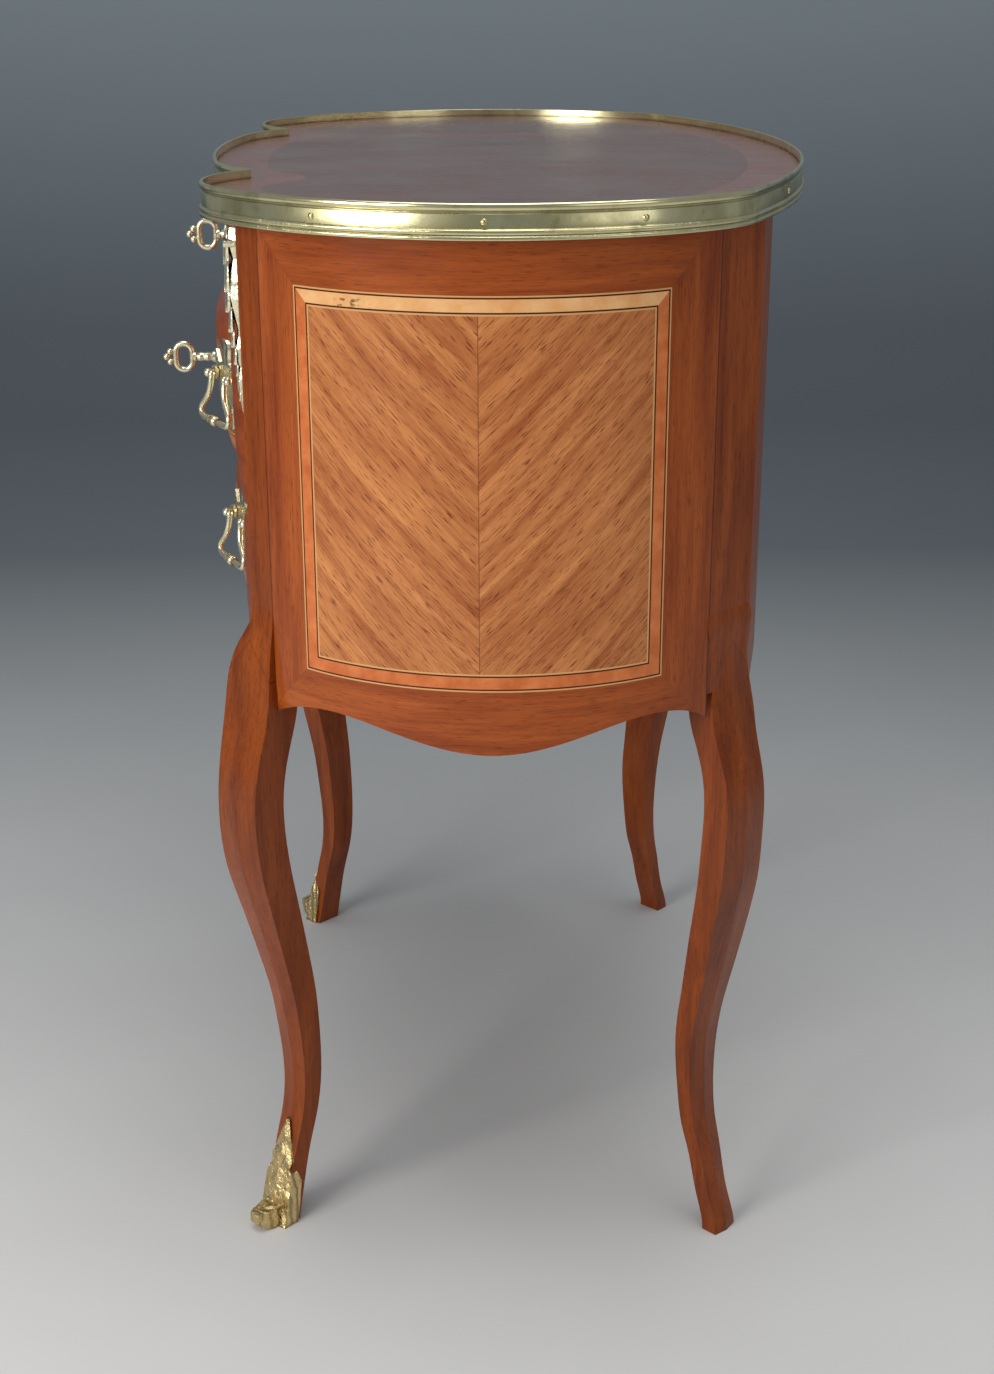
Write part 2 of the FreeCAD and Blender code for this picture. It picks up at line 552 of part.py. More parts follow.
def front_shoulder(bulge, setback):
    """In plan, the centre of the front's middle arc, that of its right shoulder, and the right cusp."""
    cusp = (CUSP_X, setback - CASE_CUSP - bulge * SIDE_BULGE_SHARE)
    centre = (0.0, setback - CASE_FRONT - bulge + MIDDLE_RADIUS)
    shoulder = min(crossings(centre, MIDDLE_RADIUS - CASE_SHOULDER_RADIUS, cusp, CASE_SHOULDER_RADIUS))
    return centre, shoulder, cusp


def front_edges(bulge, setback, end_x, z):
    """The lobed front in plan, from the right stile to the left one, bulged forwards by bulge."""
    centre, shoulder, cusp = front_shoulder(bulge, setback)
    lobe = (CASE_LOBE_X, setback - CASE_LOBE - bulge * SIDE_BULGE_SHARE)
    end = (end_x, setback + FRONT_CORNER[1])
    middle_end = touch_point(centre, shoulder, MIDDLE_RADIUS)
    return [three_point_arc(end, lobe, cusp, z),
            arc(shoulder, CASE_SHOULDER_RADIUS, cusp, middle_end, z),
            arc(centre, MIDDLE_RADIUS, middle_end, flip(middle_end), z),
            arc(flip(shoulder), CASE_SHOULDER_RADIUS, flip(middle_end), flip(cusp), z),
            three_point_arc(flip(cusp), flip(lobe), flip(end), z)]


def front_section(bulge, setback, end_x, back_y, z):
    """A closed plan section: the lobed front, and straight sides and back."""
    edges = front_edges(bulge, setback, end_x, z)
    start = (end_x, setback + FRONT_CORNER[1])
    edges += [line(flip(start), (-end_x, -back_y), z),
              line((-end_x, -back_y), (end_x, -back_y), z),
              line((end_x, -back_y), start, z)]
    return edges


def hollow_plan(half, gap):
    """The inside face of a drawer front in plan, moved back by gap: flat, and hollowed for half each way."""
    back_y = gap - FRONT_BACK_Y
    deep_y = gap - HOLLOW_Y
    return [(-half - HOLLOW_SLOPE, back_y), (-half, deep_y), (half, deep_y), (half + HOLLOW_SLOPE, back_y)]


def bulge_at(share, bulge):
    """How far a front stands out at a share of its height: a long swell below, a quick turn above."""
    lower, crown, upper = bulge
    if share < CROWN_SHARE:
        return crown - (crown - lower) * (1 - share / CROWN_SHARE) ** LOWER_EDGE_POWER
    return crown - (crown - upper) * ((share - CROWN_SHARE) / (1 - CROWN_SHARE)) ** UPPER_EDGE_POWER


def drawer_front_block(heights, bulge, hollow_half):
    """The front of a drawer, worked from thick stock, before it is jointed."""
    low, high = heights
    end_x = OPENING_HALF - DRAWER_GAP
    wires = []
    for step in range(BULGE_SECTIONS + 1):
        share = (1 - cos(pi * step / BULGE_SECTIONS)) / 2
        z = low + share * (high - low)
        wires.append(Part.Wire(front_section(bulge_at(share, bulge), 0, end_x, FRONT_BACK_Y, z)))
    block = Part.makeLoft(wires, True, False)
    mouth_half = hollow_half + HOLLOW_SLOPE
    pocket = hollow_plan(hollow_half, 0)
    pocket += [(mouth_half, OVERRUN - FRONT_BACK_Y), (-mouth_half, OVERRUN - FRONT_BACK_Y)]
    return block.cut(prism(pocket, low - OVERRUN, high + OVERRUN))


def make_rail(front_above, front_below):
    """A rail between two drawers: a deep bar behind the fronts, and a thin lip that shows between them."""
    end_x = OPENING_HALF
    top_z = front_above[0] - DRAWER_GAP
    bottom_z = top_z - RAIL_THICKNESS
    plan = [(-end_x, SEAT_GAP - FRONT_BACK_Y)] + hollow_plan(RAIL_HOLLOW_HALF, SEAT_GAP)
    plan.append((end_x, SEAT_GAP - FRONT_BACK_Y))
    bar = prism(plan + [(end_x, -RAIL_BACK_Y), (-end_x, -RAIL_BACK_Y)], bottom_z, top_z)
    lip_bottom = front_below[1] + DRAWER_GAP
    lip = upright(front_section(0, RAIL_SETBACK, end_x, LIP_BACK_Y, lip_bottom), lip_bottom, top_z)
    return bar.fuse(lip).removeSplitter()


def make_top_rail():
    bottom_z = FRIEZE_FRONT_Z[1] + DRAWER_GAP
    return upright(front_section(0, 0, OPENING_HALF, RAIL_BACK_Y, bottom_z), bottom_z, CASE_TOP)


def make_rear_rail():
    """A rail inside the back panel, under the top board."""
    half = REAR_POST_X
    front_y = back_inner_y(half) - REAR_RAIL_DEPTH
    low = CASE_TOP - REAR_RAIL_HEIGHT
    edges = [line((-half, front_y), (half, front_y), low),
             line((half, front_y), (half, back_inner_y(half)), low),
             arc(BACK_PANEL_CENTRE, BACK_PANEL_RADIUS - BACK_THICKNESS,
                 (half, back_inner_y(half)), (-half, back_inner_y(half)), low),
             line((-half, back_inner_y(half)), (-half, front_y), low)]
    return upright(edges, low, CASE_TOP)


def make_top_screws(clearance):
    """Wood screws that come up through the front and the rear rail into the top board."""
    rows = (((-CASE_CUSP - RAIL_BACK_Y) / 2, FRIEZE_FRONT_Z[1] + DRAWER_GAP),
            (back_inner_y(REAR_POST_X) - REAR_RAIL_DEPTH / 2, CASE_TOP - REAR_RAIL_HEIGHT))
    screws = []
    for y, low in rows:
        for share in SCREW_PLACE_SHARES:
            place = V(share * OPENING_HALF, y, low)
            shank = Part.makeCylinder(SCREW_RADIUS + clearance, CASE_TOP + SCREW_BITE - low, place)
            head = Part.makeCone(SCREW_HEAD_RADIUS + clearance, SCREW_RADIUS + clearance, SCREW_HEAD_HEIGHT, place)
            screws.append(shank.fuse(head))
    return Part.makeCompound(screws)


def make_front_apron(legs):
    """The shaped apron under the lower drawer, fitted between the knees."""
    top_z = LOWER_FRONT_Z[0] - DRAWER_GAP
    low = CASE_BOTTOM_Z - OVERRUN
    apron = upright(front_section(LOWER_BULGE[0], 0, OPENING_HALF, FRONT_BACK_Y, low), low, top_z)
    mouth_half = RAIL_HOLLOW_HALF + HOLLOW_SLOPE
    hollow = hollow_plan(RAIL_HOLLOW_HALF, 0)
    hollow += [(mouth_half, OVERRUN - FRONT_BACK_Y), (-mouth_half, OVERRUN - FRONT_BACK_Y)]
    apron = apron.cut(prism(hollow, low - OVERRUN, top_z + OVERRUN))
    return apron.cut(below_apron(OPENING_HALF, 0, APRON_RISE, True)).cut(legs)


def make_bottom_board(legs, apron_back_y):
    top_z = LOWER_FRONT_Z[0] - DRAWER_GAP
    low = top_z - BOTTOM_BOARD
    reach = SIDE_RADIUS - PANEL_THICKNESS
    side_front = on_side(-apron_back_y, PANEL_THICKNESS)
    back_half = REAR_POST_X
    side_back = on_side(back_inner_y(back_half), PANEL_THICKNESS)
    edges = [line(flip(side_front), side_front, low),
             arc(END_CENTRE, reach, side_front, side_back, low),
             line(side_back, (back_half, side_back[1]), low),
             arc(BACK_PANEL_CENTRE, BACK_PANEL_RADIUS - BACK_THICKNESS, (back_half, side_back[1]),
                 (-back_half, side_back[1]), low),
             line((-back_half, side_back[1]), flip(side_back), low),
             arc(flip(END_CENTRE), reach, flip(side_back), flip(side_front), low)]
    board = upright(edges, low, top_z)
    mouth_half = RAIL_HOLLOW_HALF + HOLLOW_SLOPE
    nose_plan = hollow_plan(RAIL_HOLLOW_HALF, 0) + [(mouth_half, -apron_back_y), (-mouth_half, -apron_back_y)]
    nose = prism(nose_plan, low, top_z)
    return board.fuse(nose).removeSplitter().cut(legs)


def make_runners(top_z, thickness):
    """A pair of runners under a drawer's sides, each with a guide strip beside the drawer."""
    outer = OPENING_HALF + GUIDE_WIDTH
    rear_y = REAR_CORNER[1] - REAR_POST_DEPTH
    runner = box((outer - RUNNER_WIDTH, outer), (-RAIL_BACK_Y, rear_y), (top_z - thickness, top_z))
    guide = box((OPENING_HALF, outer), (-RAIL_BACK_Y, rear_y), (top_z, top_z + GUIDE_HEIGHT))
    right = runner.fuse(guide).removeSplitter()
    return Part.makeCompound([right, mirrored(right)])


def make_dust_board(rail_bottom, rail_top):
    half = OPENING_HALF + GUIDE_WIDTH - RUNNER_WIDTH
    low = (rail_bottom + rail_top - DUST_BOARD) / 2
    rear_y = REAR_CORNER[1] - REAR_POST_DEPTH
    return box((-half, half), (-RAIL_BACK_Y, rear_y), (low, low + DUST_BOARD))


# Drawer boxes: sides dovetailed into the front and the back, and a bottom slid in from behind.
def tail(y_root, y_tip, x_range, z_middle):
    """One dovetail of a drawer side, wider at its tip."""
    root = TAIL_PITCH / 4
    tip = root + TAIL_SLOPE
    corners = [V(x_range[0], y_root, z_middle - root), V(x_range[0], y_tip, z_middle - tip),
               V(x_range[0], y_tip, z_middle + tip), V(x_range[0], y_root, z_middle + root)]
    face = Part.Face(Part.makePolygon(corners + corners[:1]))
    return face.extrude(V(x_range[1] - x_range[0], 0, 0))


def tails(z_range, y_root, y_tip, x_range):
    count = int((z_range[1] - z_range[0]) // TAIL_PITCH)
    start = (z_range[0] + z_range[1] - (count - 1) * TAIL_PITCH) / 2
    return [tail(y_root, y_tip, x_range, start + index * TAIL_PITCH) for index in range(count)]


def make_drawer_box(name, block, box_z, hollow_half):
    """The pieces of one drawer, from its front block: front, two sides, back and bottom."""
    low, high = box_z
    inner = BOX_HALF - BOX_SIDE
    bottom_z = (low + BOX_BOTTOM_UP, low + BOX_BOTTOM_UP + BOX_BOTTOM)
    groove_half = inner + BOX_GROOVE
    plan = [(-groove_half, -FRONT_BACK_Y - BOX_GROOVE)] + hollow_plan(hollow_half, -BOX_GROOVE)
    plan += [(groove_half, -FRONT_BACK_Y - BOX_GROOVE), (groove_half, BOX_BACK_Y), (-groove_half, BOX_BACK_Y)]
    bottom = prism(plan, bottom_z[0], bottom_z[1])
    side = box((inner, BOX_HALF), (-FRONT_BACK_Y, BOX_BACK_Y - BOX_BACK), (low, high))
    front_tails = tails(box_z, -FRONT_BACK_Y, -FRONT_BACK_Y - TAIL_DEPTH, (inner, BOX_HALF))
    back_tails = tails((bottom_z[1], high), BOX_BACK_Y - BOX_BACK, BOX_BACK_Y, (inner, BOX_HALF))
    right = side.multiFuse(front_tails + back_tails).cut(bottom)
    left = mirrored(right)
    back = box((-BOX_HALF, BOX_HALF), (BOX_BACK_Y - BOX_BACK, BOX_BACK_Y), (bottom_z[1], high))
    back = back.cut(Part.makeCompound([right, left]))
    front = block.cut(Part.makeCompound([right, left])).cut(bottom)
    return {name + "_front": front, name + "_left_side": left, name + "_right_side": right,
            name + "_back": back, name + "_bottom": bottom}


# Locks and keys. The key turns in the lock behind the front and lifts the bolt into the rail above.
def keyhole(key_z, y_from, y_to):
    """The space of a keyhole: a round hole with a slot below it."""
    hole = Part.makeCylinder(KEYHOLE_RADIUS, y_to - y_from, V(0, y_from, key_z), V(0, 1, 0))
    half = KEYHOLE_SLOT_WIDTH / 2
    slot = box((-half, half), (y_from, y_to), (key_z - KEYHOLE_SLOT_REACH, key_z))
    return hole.fuse(slot)


def bolt_box(key_z, top_z, gap, lift):
    half = BOLT_WIDTH / 2 + gap
    middle_y = LOCK_DEPTH / 2 - HOLLOW_Y
    depth = BOLT_DEPTH / 2 + gap
    low = key_z + KEYHOLE_SLOT_REACH + RUNNING_GAP * 2 - gap
    return box((-half, half), (middle_y - depth, middle_y + depth), (low, top_z + lift))


def make_lock(key_z, top_z):
    """A lock case screwed behind the front, with room for the key's bit and a channel for the bolt."""
    half = LOCK_WIDTH / 2
    back_y = LOCK_DEPTH - HOLLOW_Y
    case = box((-half, half), (-HOLLOW_Y, back_y), (key_z - LOCK_BELOW_KEY, top_z))
    room = Part.makeCylinder(KEYHOLE_SLOT_REACH, LOCK_DEPTH - 2 * LOCK_WALL,
                             V(0, LOCK_WALL - HOLLOW_Y, key_z), V(0, 1, 0))
    pivot = Part.makeCylinder(KEY_SHANK_RADIUS + RUNNING_GAP, LOCK_DEPTH, V(0, -HOLLOW_Y, key_z), V(0, 1, 0))
    channel = bolt_box(key_z, top_z, RUNNING_GAP, OVERRUN)
    entry = keyhole(key_z, -HOLLOW_Y - OVERRUN, LOCK_WALL - HOLLOW_Y)
    return case.cut(room).cut(pivot).cut(channel).cut(entry)


def make_key(key_z, face_y):
    """A key with a ring bow, a trefoil tip and a turned barrel, its bit hanging down in the lock."""
    tip_y = face_y - KEY_VISIBLE
    foil_y = tip_y + KEY_FOIL_RADIUS
    bow_y = tip_y + KEY_FOIL_REACH + KEY_BOW_WIDTH / 2
    bow_radius = KEY_BOW_WIDTH / 2 - KEY_BOW_WIRE
    straight = KEY_BOW_HEIGHT - KEY_BOW_WIDTH
    loop = []
    for end in (-1, 1):
        near = V(0, bow_y - bow_radius, key_z + end * straight / 2)
        far = V(0, bow_y + bow_radius, near.z)
        loop.append(Part.Arc(near, V(0, bow_y, near.z + end * bow_radius), far).toShape())
        loop.append(Part.makeLine(V(0, bow_y + end * bow_radius, key_z - straight / 2),
                                  V(0, bow_y + end * bow_radius, key_z + straight / 2)))
    profile = Part.Wire([Part.makeCircle(KEY_BOW_WIRE, V(0, bow_y + bow_radius, key_z - straight / 2), V(0, 0, 1))])
    bow = Part.Wire(Part.sortEdges(loop)[0]).makePipeShell([profile], True, False)
    shank_start = bow_y + bow_radius
    end_y = LOCK_DEPTH - LOCK_WALL / 2 - HOLLOW_Y
    shank = Part.makeCylinder(KEY_SHANK_RADIUS, end_y - shank_start, V(0, shank_start, key_z), V(0, 1, 0))
    core = KEY_SHANK_RADIUS / 2
    profile = [V(core, shank_start, key_z)]
    for place_share, radius_share in zip(KEY_BARREL_PLACE_SHARES, KEY_BARREL_RADIUS_SHARES):
        barrel_y = shank_start + place_share * (face_y - shank_start)
        profile.append(V(radius_share * KEY_BARREL_RADIUS, barrel_y, key_z))
    profile.append(V(core, profile[-1].y, key_z))
    barrel = Part.Face(Part.makePolygon(profile + profile[:1])).revolve(V(0, 0, key_z), V(0, 1, 0), 360)
    pieces = [shank, barrel, Part.makeSphere(KEY_FOIL_RADIUS, V(0, foil_y, key_z))]
    for side in (-1, 1):
        lift = side * KEY_FOIL_RADIUS * KEY_FOIL_SPREAD_SHARE
        lag = KEY_FOIL_RADIUS * KEY_FOIL_LAG_SHARE
        pieces.append(Part.makeSphere(KEY_FOIL_RADIUS, V(0, foil_y + lag, key_z + lift)))
    bit_y = end_y - LOCK_WALL / 2 - RUNNING_GAP - KEY_BIT_LENGTH
    half = KEY_BIT_WIDTH / 2
    pieces.append(box((-half, half), (bit_y, bit_y + KEY_BIT_LENGTH), (key_z - KEY_BIT_REACH, key_z)))
    return bow.multiFuse(pieces)


# Gilt brass plates. Each is cut from a skin that follows the bulged front it lies on.
def closed_curve(widths, heights, half_width, half_height, y, centre_x, centre_z):
    """A closed outline in the XZ plane, mirrored about its own middle line."""
    right = [(w * half_width, h * half_height) for w, h in zip(widths, heights)]
    left = [(-x, z) for x, z in reversed(right[1:-1])]
    points = [V(centre_x + x, y, centre_z + z) for x, z in right + left]
    curve = Part.BSplineCurve()
    curve.interpolate(points, PeriodicFlag=True)
    return Part.Wire([curve.toShape()])


def front_skin(block, outline, posts):
    """The part of a skin over the front that lies inside an outline, with posts that stand on it."""
    plug = Part.Face(outline).extrude(V(0, FRONT_REACH, 0))
    skin = block.copy()
    skin.translate(V(0, -PLATE_THICKNESS, 0))
    skin = skin.common(plug)
    if posts:
        skin = skin.multiFuse(posts)
    return skin.cut(block)


def make_escutcheon(block, key_z):
    outline = closed_curve(ESCUTCHEON_WIDTH_SHARES, ESCUTCHEON_HEIGHT_SHARES, ESCUTCHEON_WIDTH / 2,
                           ESCUTCHEON_HEIGHT / 2, -KEY_REACH, 0, key_z)
    plate = front_skin(block, outline, [])
    return plate.cut(keyhole(key_z, -KEY_REACH, -HOLLOW_Y))


# The bail handles, drawn about their own pivot line and then turned to the curve of the front.
# Side is 1 for the right handle and -1 for the left one.
def handle_turn(bulge_height):
    """The angle by which the front is turned, on its shoulder, where the handle sits."""
    return asin((HANDLE_X - front_shoulder(bulge_height, 0)[1][0]) / CASE_SHOULDER_RADIUS)


def handle_surface(bulge_height):
    shoulder = front_shoulder(bulge_height, 0)[1]
    return CASE_SHOULDER_RADIUS * cos(handle_turn(bulge_height)) - shoulder[1]


def handle_place(side, handle_z, bulge_height):
    place = V(side * HANDLE_X, -handle_surface(bulge_height) - PLATE_THICKNESS, handle_z)
    return FreeCAD.Placement(place, FreeCAD.Rotation(V(0, 0, 1), side * degrees(handle_turn(bulge_height))))


def inside_face(side, end, bulge_height):
    """From the face of the plate to the inside of the drawer front, along the post at one end."""
    turn = handle_turn(bulge_height)
    across = side * end * POST_SPACING / 2 * sin(turn)
    return (handle_surface(bulge_height) + PLATE_THICKNESS - HOLLOW_Y - across) / cos(turn)


def nut_seat(side, end, bulge_height):
    """From the face of the plate to the flat that is bored for the nut, square to its bolt."""
    return inside_face(side, end, bulge_height) - NUT_RADIUS * tan(handle_turn(bulge_height))


def post_rod(place, end, radius, start, stop):
    """A rod on the line of one post, from start to stop behind the face of the plate."""
    rod = Part.makeCylinder(radius, stop - start, V(end * POST_SPACING / 2, start, POST_LIFT), V(0, 1, 0))
    rod.Placement = place
    return rod


def make_handle_plate(block, side, handle_z, bulge_height):
    """A shaped backplate that follows the front, with two drilled posts bolted through the front."""
    outline = closed_curve(HANDLE_WIDTH_SHARES, HANDLE_HEIGHT_SHARES, HANDLE_WIDTH / 2,
                           HANDLE_HEIGHT / 2, -KEY_REACH, side * HANDLE_X, handle_z)
    place = handle_place(side, handle_z, bulge_height)
    posts = []
    bolts = []
    for end in (-1, 1):
        posts.append(post_rod(place, end, POST_STEM_SHARE * POST_RADIUS, -POST_REACH, PLATE_THICKNESS))
        posts.append(post_rod(place, end, POST_BASE_RADIUS, -POST_BASE_HEIGHT, PLATE_THICKNESS))
        knob = Part.makeSphere(POST_RADIUS, V(end * POST_SPACING / 2, -POST_REACH, POST_LIFT))
        knob.Placement = place
        posts.append(knob)
        bolt_end = nut_seat(side, end, bulge_height) + NUT_GAP + NUT_THICKNESS + POST_BOLT_TIP
        bolts.append(post_rod(place, end, POST_BOLT_RADIUS, 0, bolt_end))
    bore = POST_SPACING + POST_RADIUS + 2 * RUNNING_GAP
    pivot = Part.makeCylinder(BAIL_PIN_RADIUS + BAIL_PIN_GAP, bore, V(-bore / 2, -POST_REACH, POST_LIFT),
                              V(1, 0, 0))
    pivot.Placement = place
    return front_skin(block, outline, posts).multiFuse(bolts).cut(pivot)


def make_bolt_holes(handle_z, bulge_height):
    """The holes that a drawer front has for the bolts of both its handles."""
    holes = []
    for side in (-1, 1):
        place = handle_place(side, handle_z, bulge_height)
        for end in (-1, 1):
            seat = nut_seat(side, end, bulge_height)
            holes.append(post_rod(place, end, POST_BOLT_RADIUS + SCREW_GAP, -POST_REACH, seat + OVERRUN))
            holes.append(post_rod(place, end, NUT_RADIUS + NUT_WELL_GAP, seat, seat + 2 * OVERRUN))
    return Part.makeCompound(holes)


def make_handle_nuts(handle_z, bulge_height):
    """The round nuts of a drawer's four handle bolts, inside the drawer."""
    nuts = []
    for side in (-1, 1):
        place = handle_place(side, handle_z, bulge_height)
        for end in (-1, 1):
            start = nut_seat(side, end, bulge_height) + NUT_GAP
            nut = post_rod(place, end, NUT_RADIUS, start, start + NUT_THICKNESS)
            nuts.append(nut.cut(post_rod(place, end, POST_BOLT_RADIUS, 0, start + OVERRUN)))
    return Part.makeCompound(nuts)


def make_bail(side, handle_z, bulge_height):
    """The swinging bail: two necks that hang down, swell out and turn into a grip with a knop in its middle."""
    right = [V(width * BAIL_SPREAD / 2, 0, -drop * BAIL_DROP)
             for width, drop in zip(BAIL_SPREAD_SHARES, BAIL_DROP_SHARES)]
    curve = Part.BSplineCurve()
    curve.interpolate(right + [V(-point.x, 0, point.z) for point in reversed(right[:-1])])
    profile = Part.Wire([Part.makeCircle(BAIL_WIRE, right[0], curve.tangent(curve.FirstParameter)[0])])
    wire = Part.Wire([curve.toShape()]).makePipeShell([profile], True, False)
    pieces = [Part.makeSphere(BAIL_KNOP_RADIUS, right[-1])]
    for end in (-1, 1):
        eye = V(end * right[0].x, 0, 0)
        pieces.append(Part.makeSphere(BAIL_EYE_SHARE * BAIL_WIRE, eye))
        reach = (POST_SPACING + POST_RADIUS) / 2 - right[0].x
        pieces.append(Part.makeCylinder(BAIL_PIN_RADIUS, reach, eye, V(end, 0, 0)))
        collar_x = (end * BAIL_COLLAR_SPACING - BAIL_COLLAR_THICKNESS) / 2
        pieces.append(Part.makeCylinder(BAIL_COLLAR_RADIUS, BAIL_COLLAR_THICKNESS, V(collar_x, 0, -BAIL_DROP),
                                        V(1, 0, 0)))
    bail = wire.multiFuse(pieces)
    bail.rotate(V(0, 0, 0), V(1, 0, 0), -BAIL_LEAN)
    bail.translate(V(0, -POST_REACH, POST_LIFT))
    bail.Placement = handle_place(side, handle_z, bulge_height).multiply(bail.Placement)
    return bail


def make_chute():
    """A cast drop of leaves for the front stile: two volutes, a long leaf, and buds that get smaller."""
    sections = []
    for drop, width, relief in zip(CHUTE_DROP_SHARES, CHUTE_WIDTH_SHARES, CHUTE_RELIEF_SHARES):
        points = [V(x * width * CHUTE_WIDTH / 2, -y * relief * CHUTE_RELIEF, -drop * CHUTE_LENGTH)
                  for x, y in CHUTE_SECTION_SHARES]
        sections.append(Part.makePolygon(points + points[:1]))
    pieces = []
    for side in (-1, 1):
        eye = V(side * CHUTE_VOLUTE_SPACING / 2, 0, -CHUTE_VOLUTE_DROP)
        pieces.append(Part.makeCylinder(CHUTE_VOLUTE_RADIUS, CHUTE_VOLUTE_REACH, eye, V(0, -1, 0)))
    solid = Part.makeLoft(sections, True, True).multiFuse(pieces)
    solid.translate(V((OPENING_HALF + FRONT_CORNER[0]) / 2, FRONT_CORNER[1], CHUTE_TOP_Z))
    return solid


def front_leg_at(z, shares):
    """A share of the front leg's table, read between its sections."""
    share = z / LEG_HEIGHT
    for index, high in enumerate(LEG_HEIGHT_SHARES[1:]):
        if share <= high:
            low = LEG_HEIGHT_SHARES[index]
            return shares[index] + (shares[index + 1] - shares[index]) * (share - low) / (high - low)
    return shares[-1]


def make_sabot(leg):
    """A cast shoe on the outer side of a front foot: two tiers of leaf above, and a scrolled toe."""
    outward = V(1, -1, 0).normalize()
    across = V(-1, -1, 0).normalize()
    origin = V(FRONT_CORNER[0], FRONT_CORNER[1], 0)
    sections = []
    for height_share, width_share, reach_share in zip(SABOT_HEIGHT_SHARES, SABOT_WIDTH_SHARES, SABOT_REACH_SHARES):
        z = height_share * SABOT_HEIGHT
        width = width_share * (front_leg_at(z, FRONT_WIDTH_SHARES) * LEG_WIDTH + 2 * SABOT_SKIN)
        depth = reach_share * front_leg_at(z, FRONT_DEPTH_SHARES) * LEG_DEPTH + SABOT_SKIN
        swing = front_leg_at(z, FRONT_SWING_SHARES) * LEG_SWING + SABOT_SKIN
        sections.append(leg_section(origin, outward, across, z, swing, width, depth, 0, LEG_RIDGE))
    shoe = Part.makeLoft(sections, True, True)
    foot = origin + outward * (FRONT_SWING_SHARES[0] * LEG_SWING)
    toe = []
    for share, low, high, width in SABOT_TOE_SHARES:
        centre = foot + outward * (share * SABOT_TOE)
        side = across * (width * SABOT_TOE_WIDTH / 2)
        floor = V(0, 0, low * SABOT_TOE_HEIGHT)
        crest = V(0, 0, high * SABOT_TOE_HEIGHT)
        corners = [centre + side + floor, centre - side + floor, centre - side + crest, centre + side + crest]
        toe.append(Part.makePolygon(corners + corners[:1]))
    return shoe.fuse(Part.makeLoft(toe, True, True)).cut(leg)


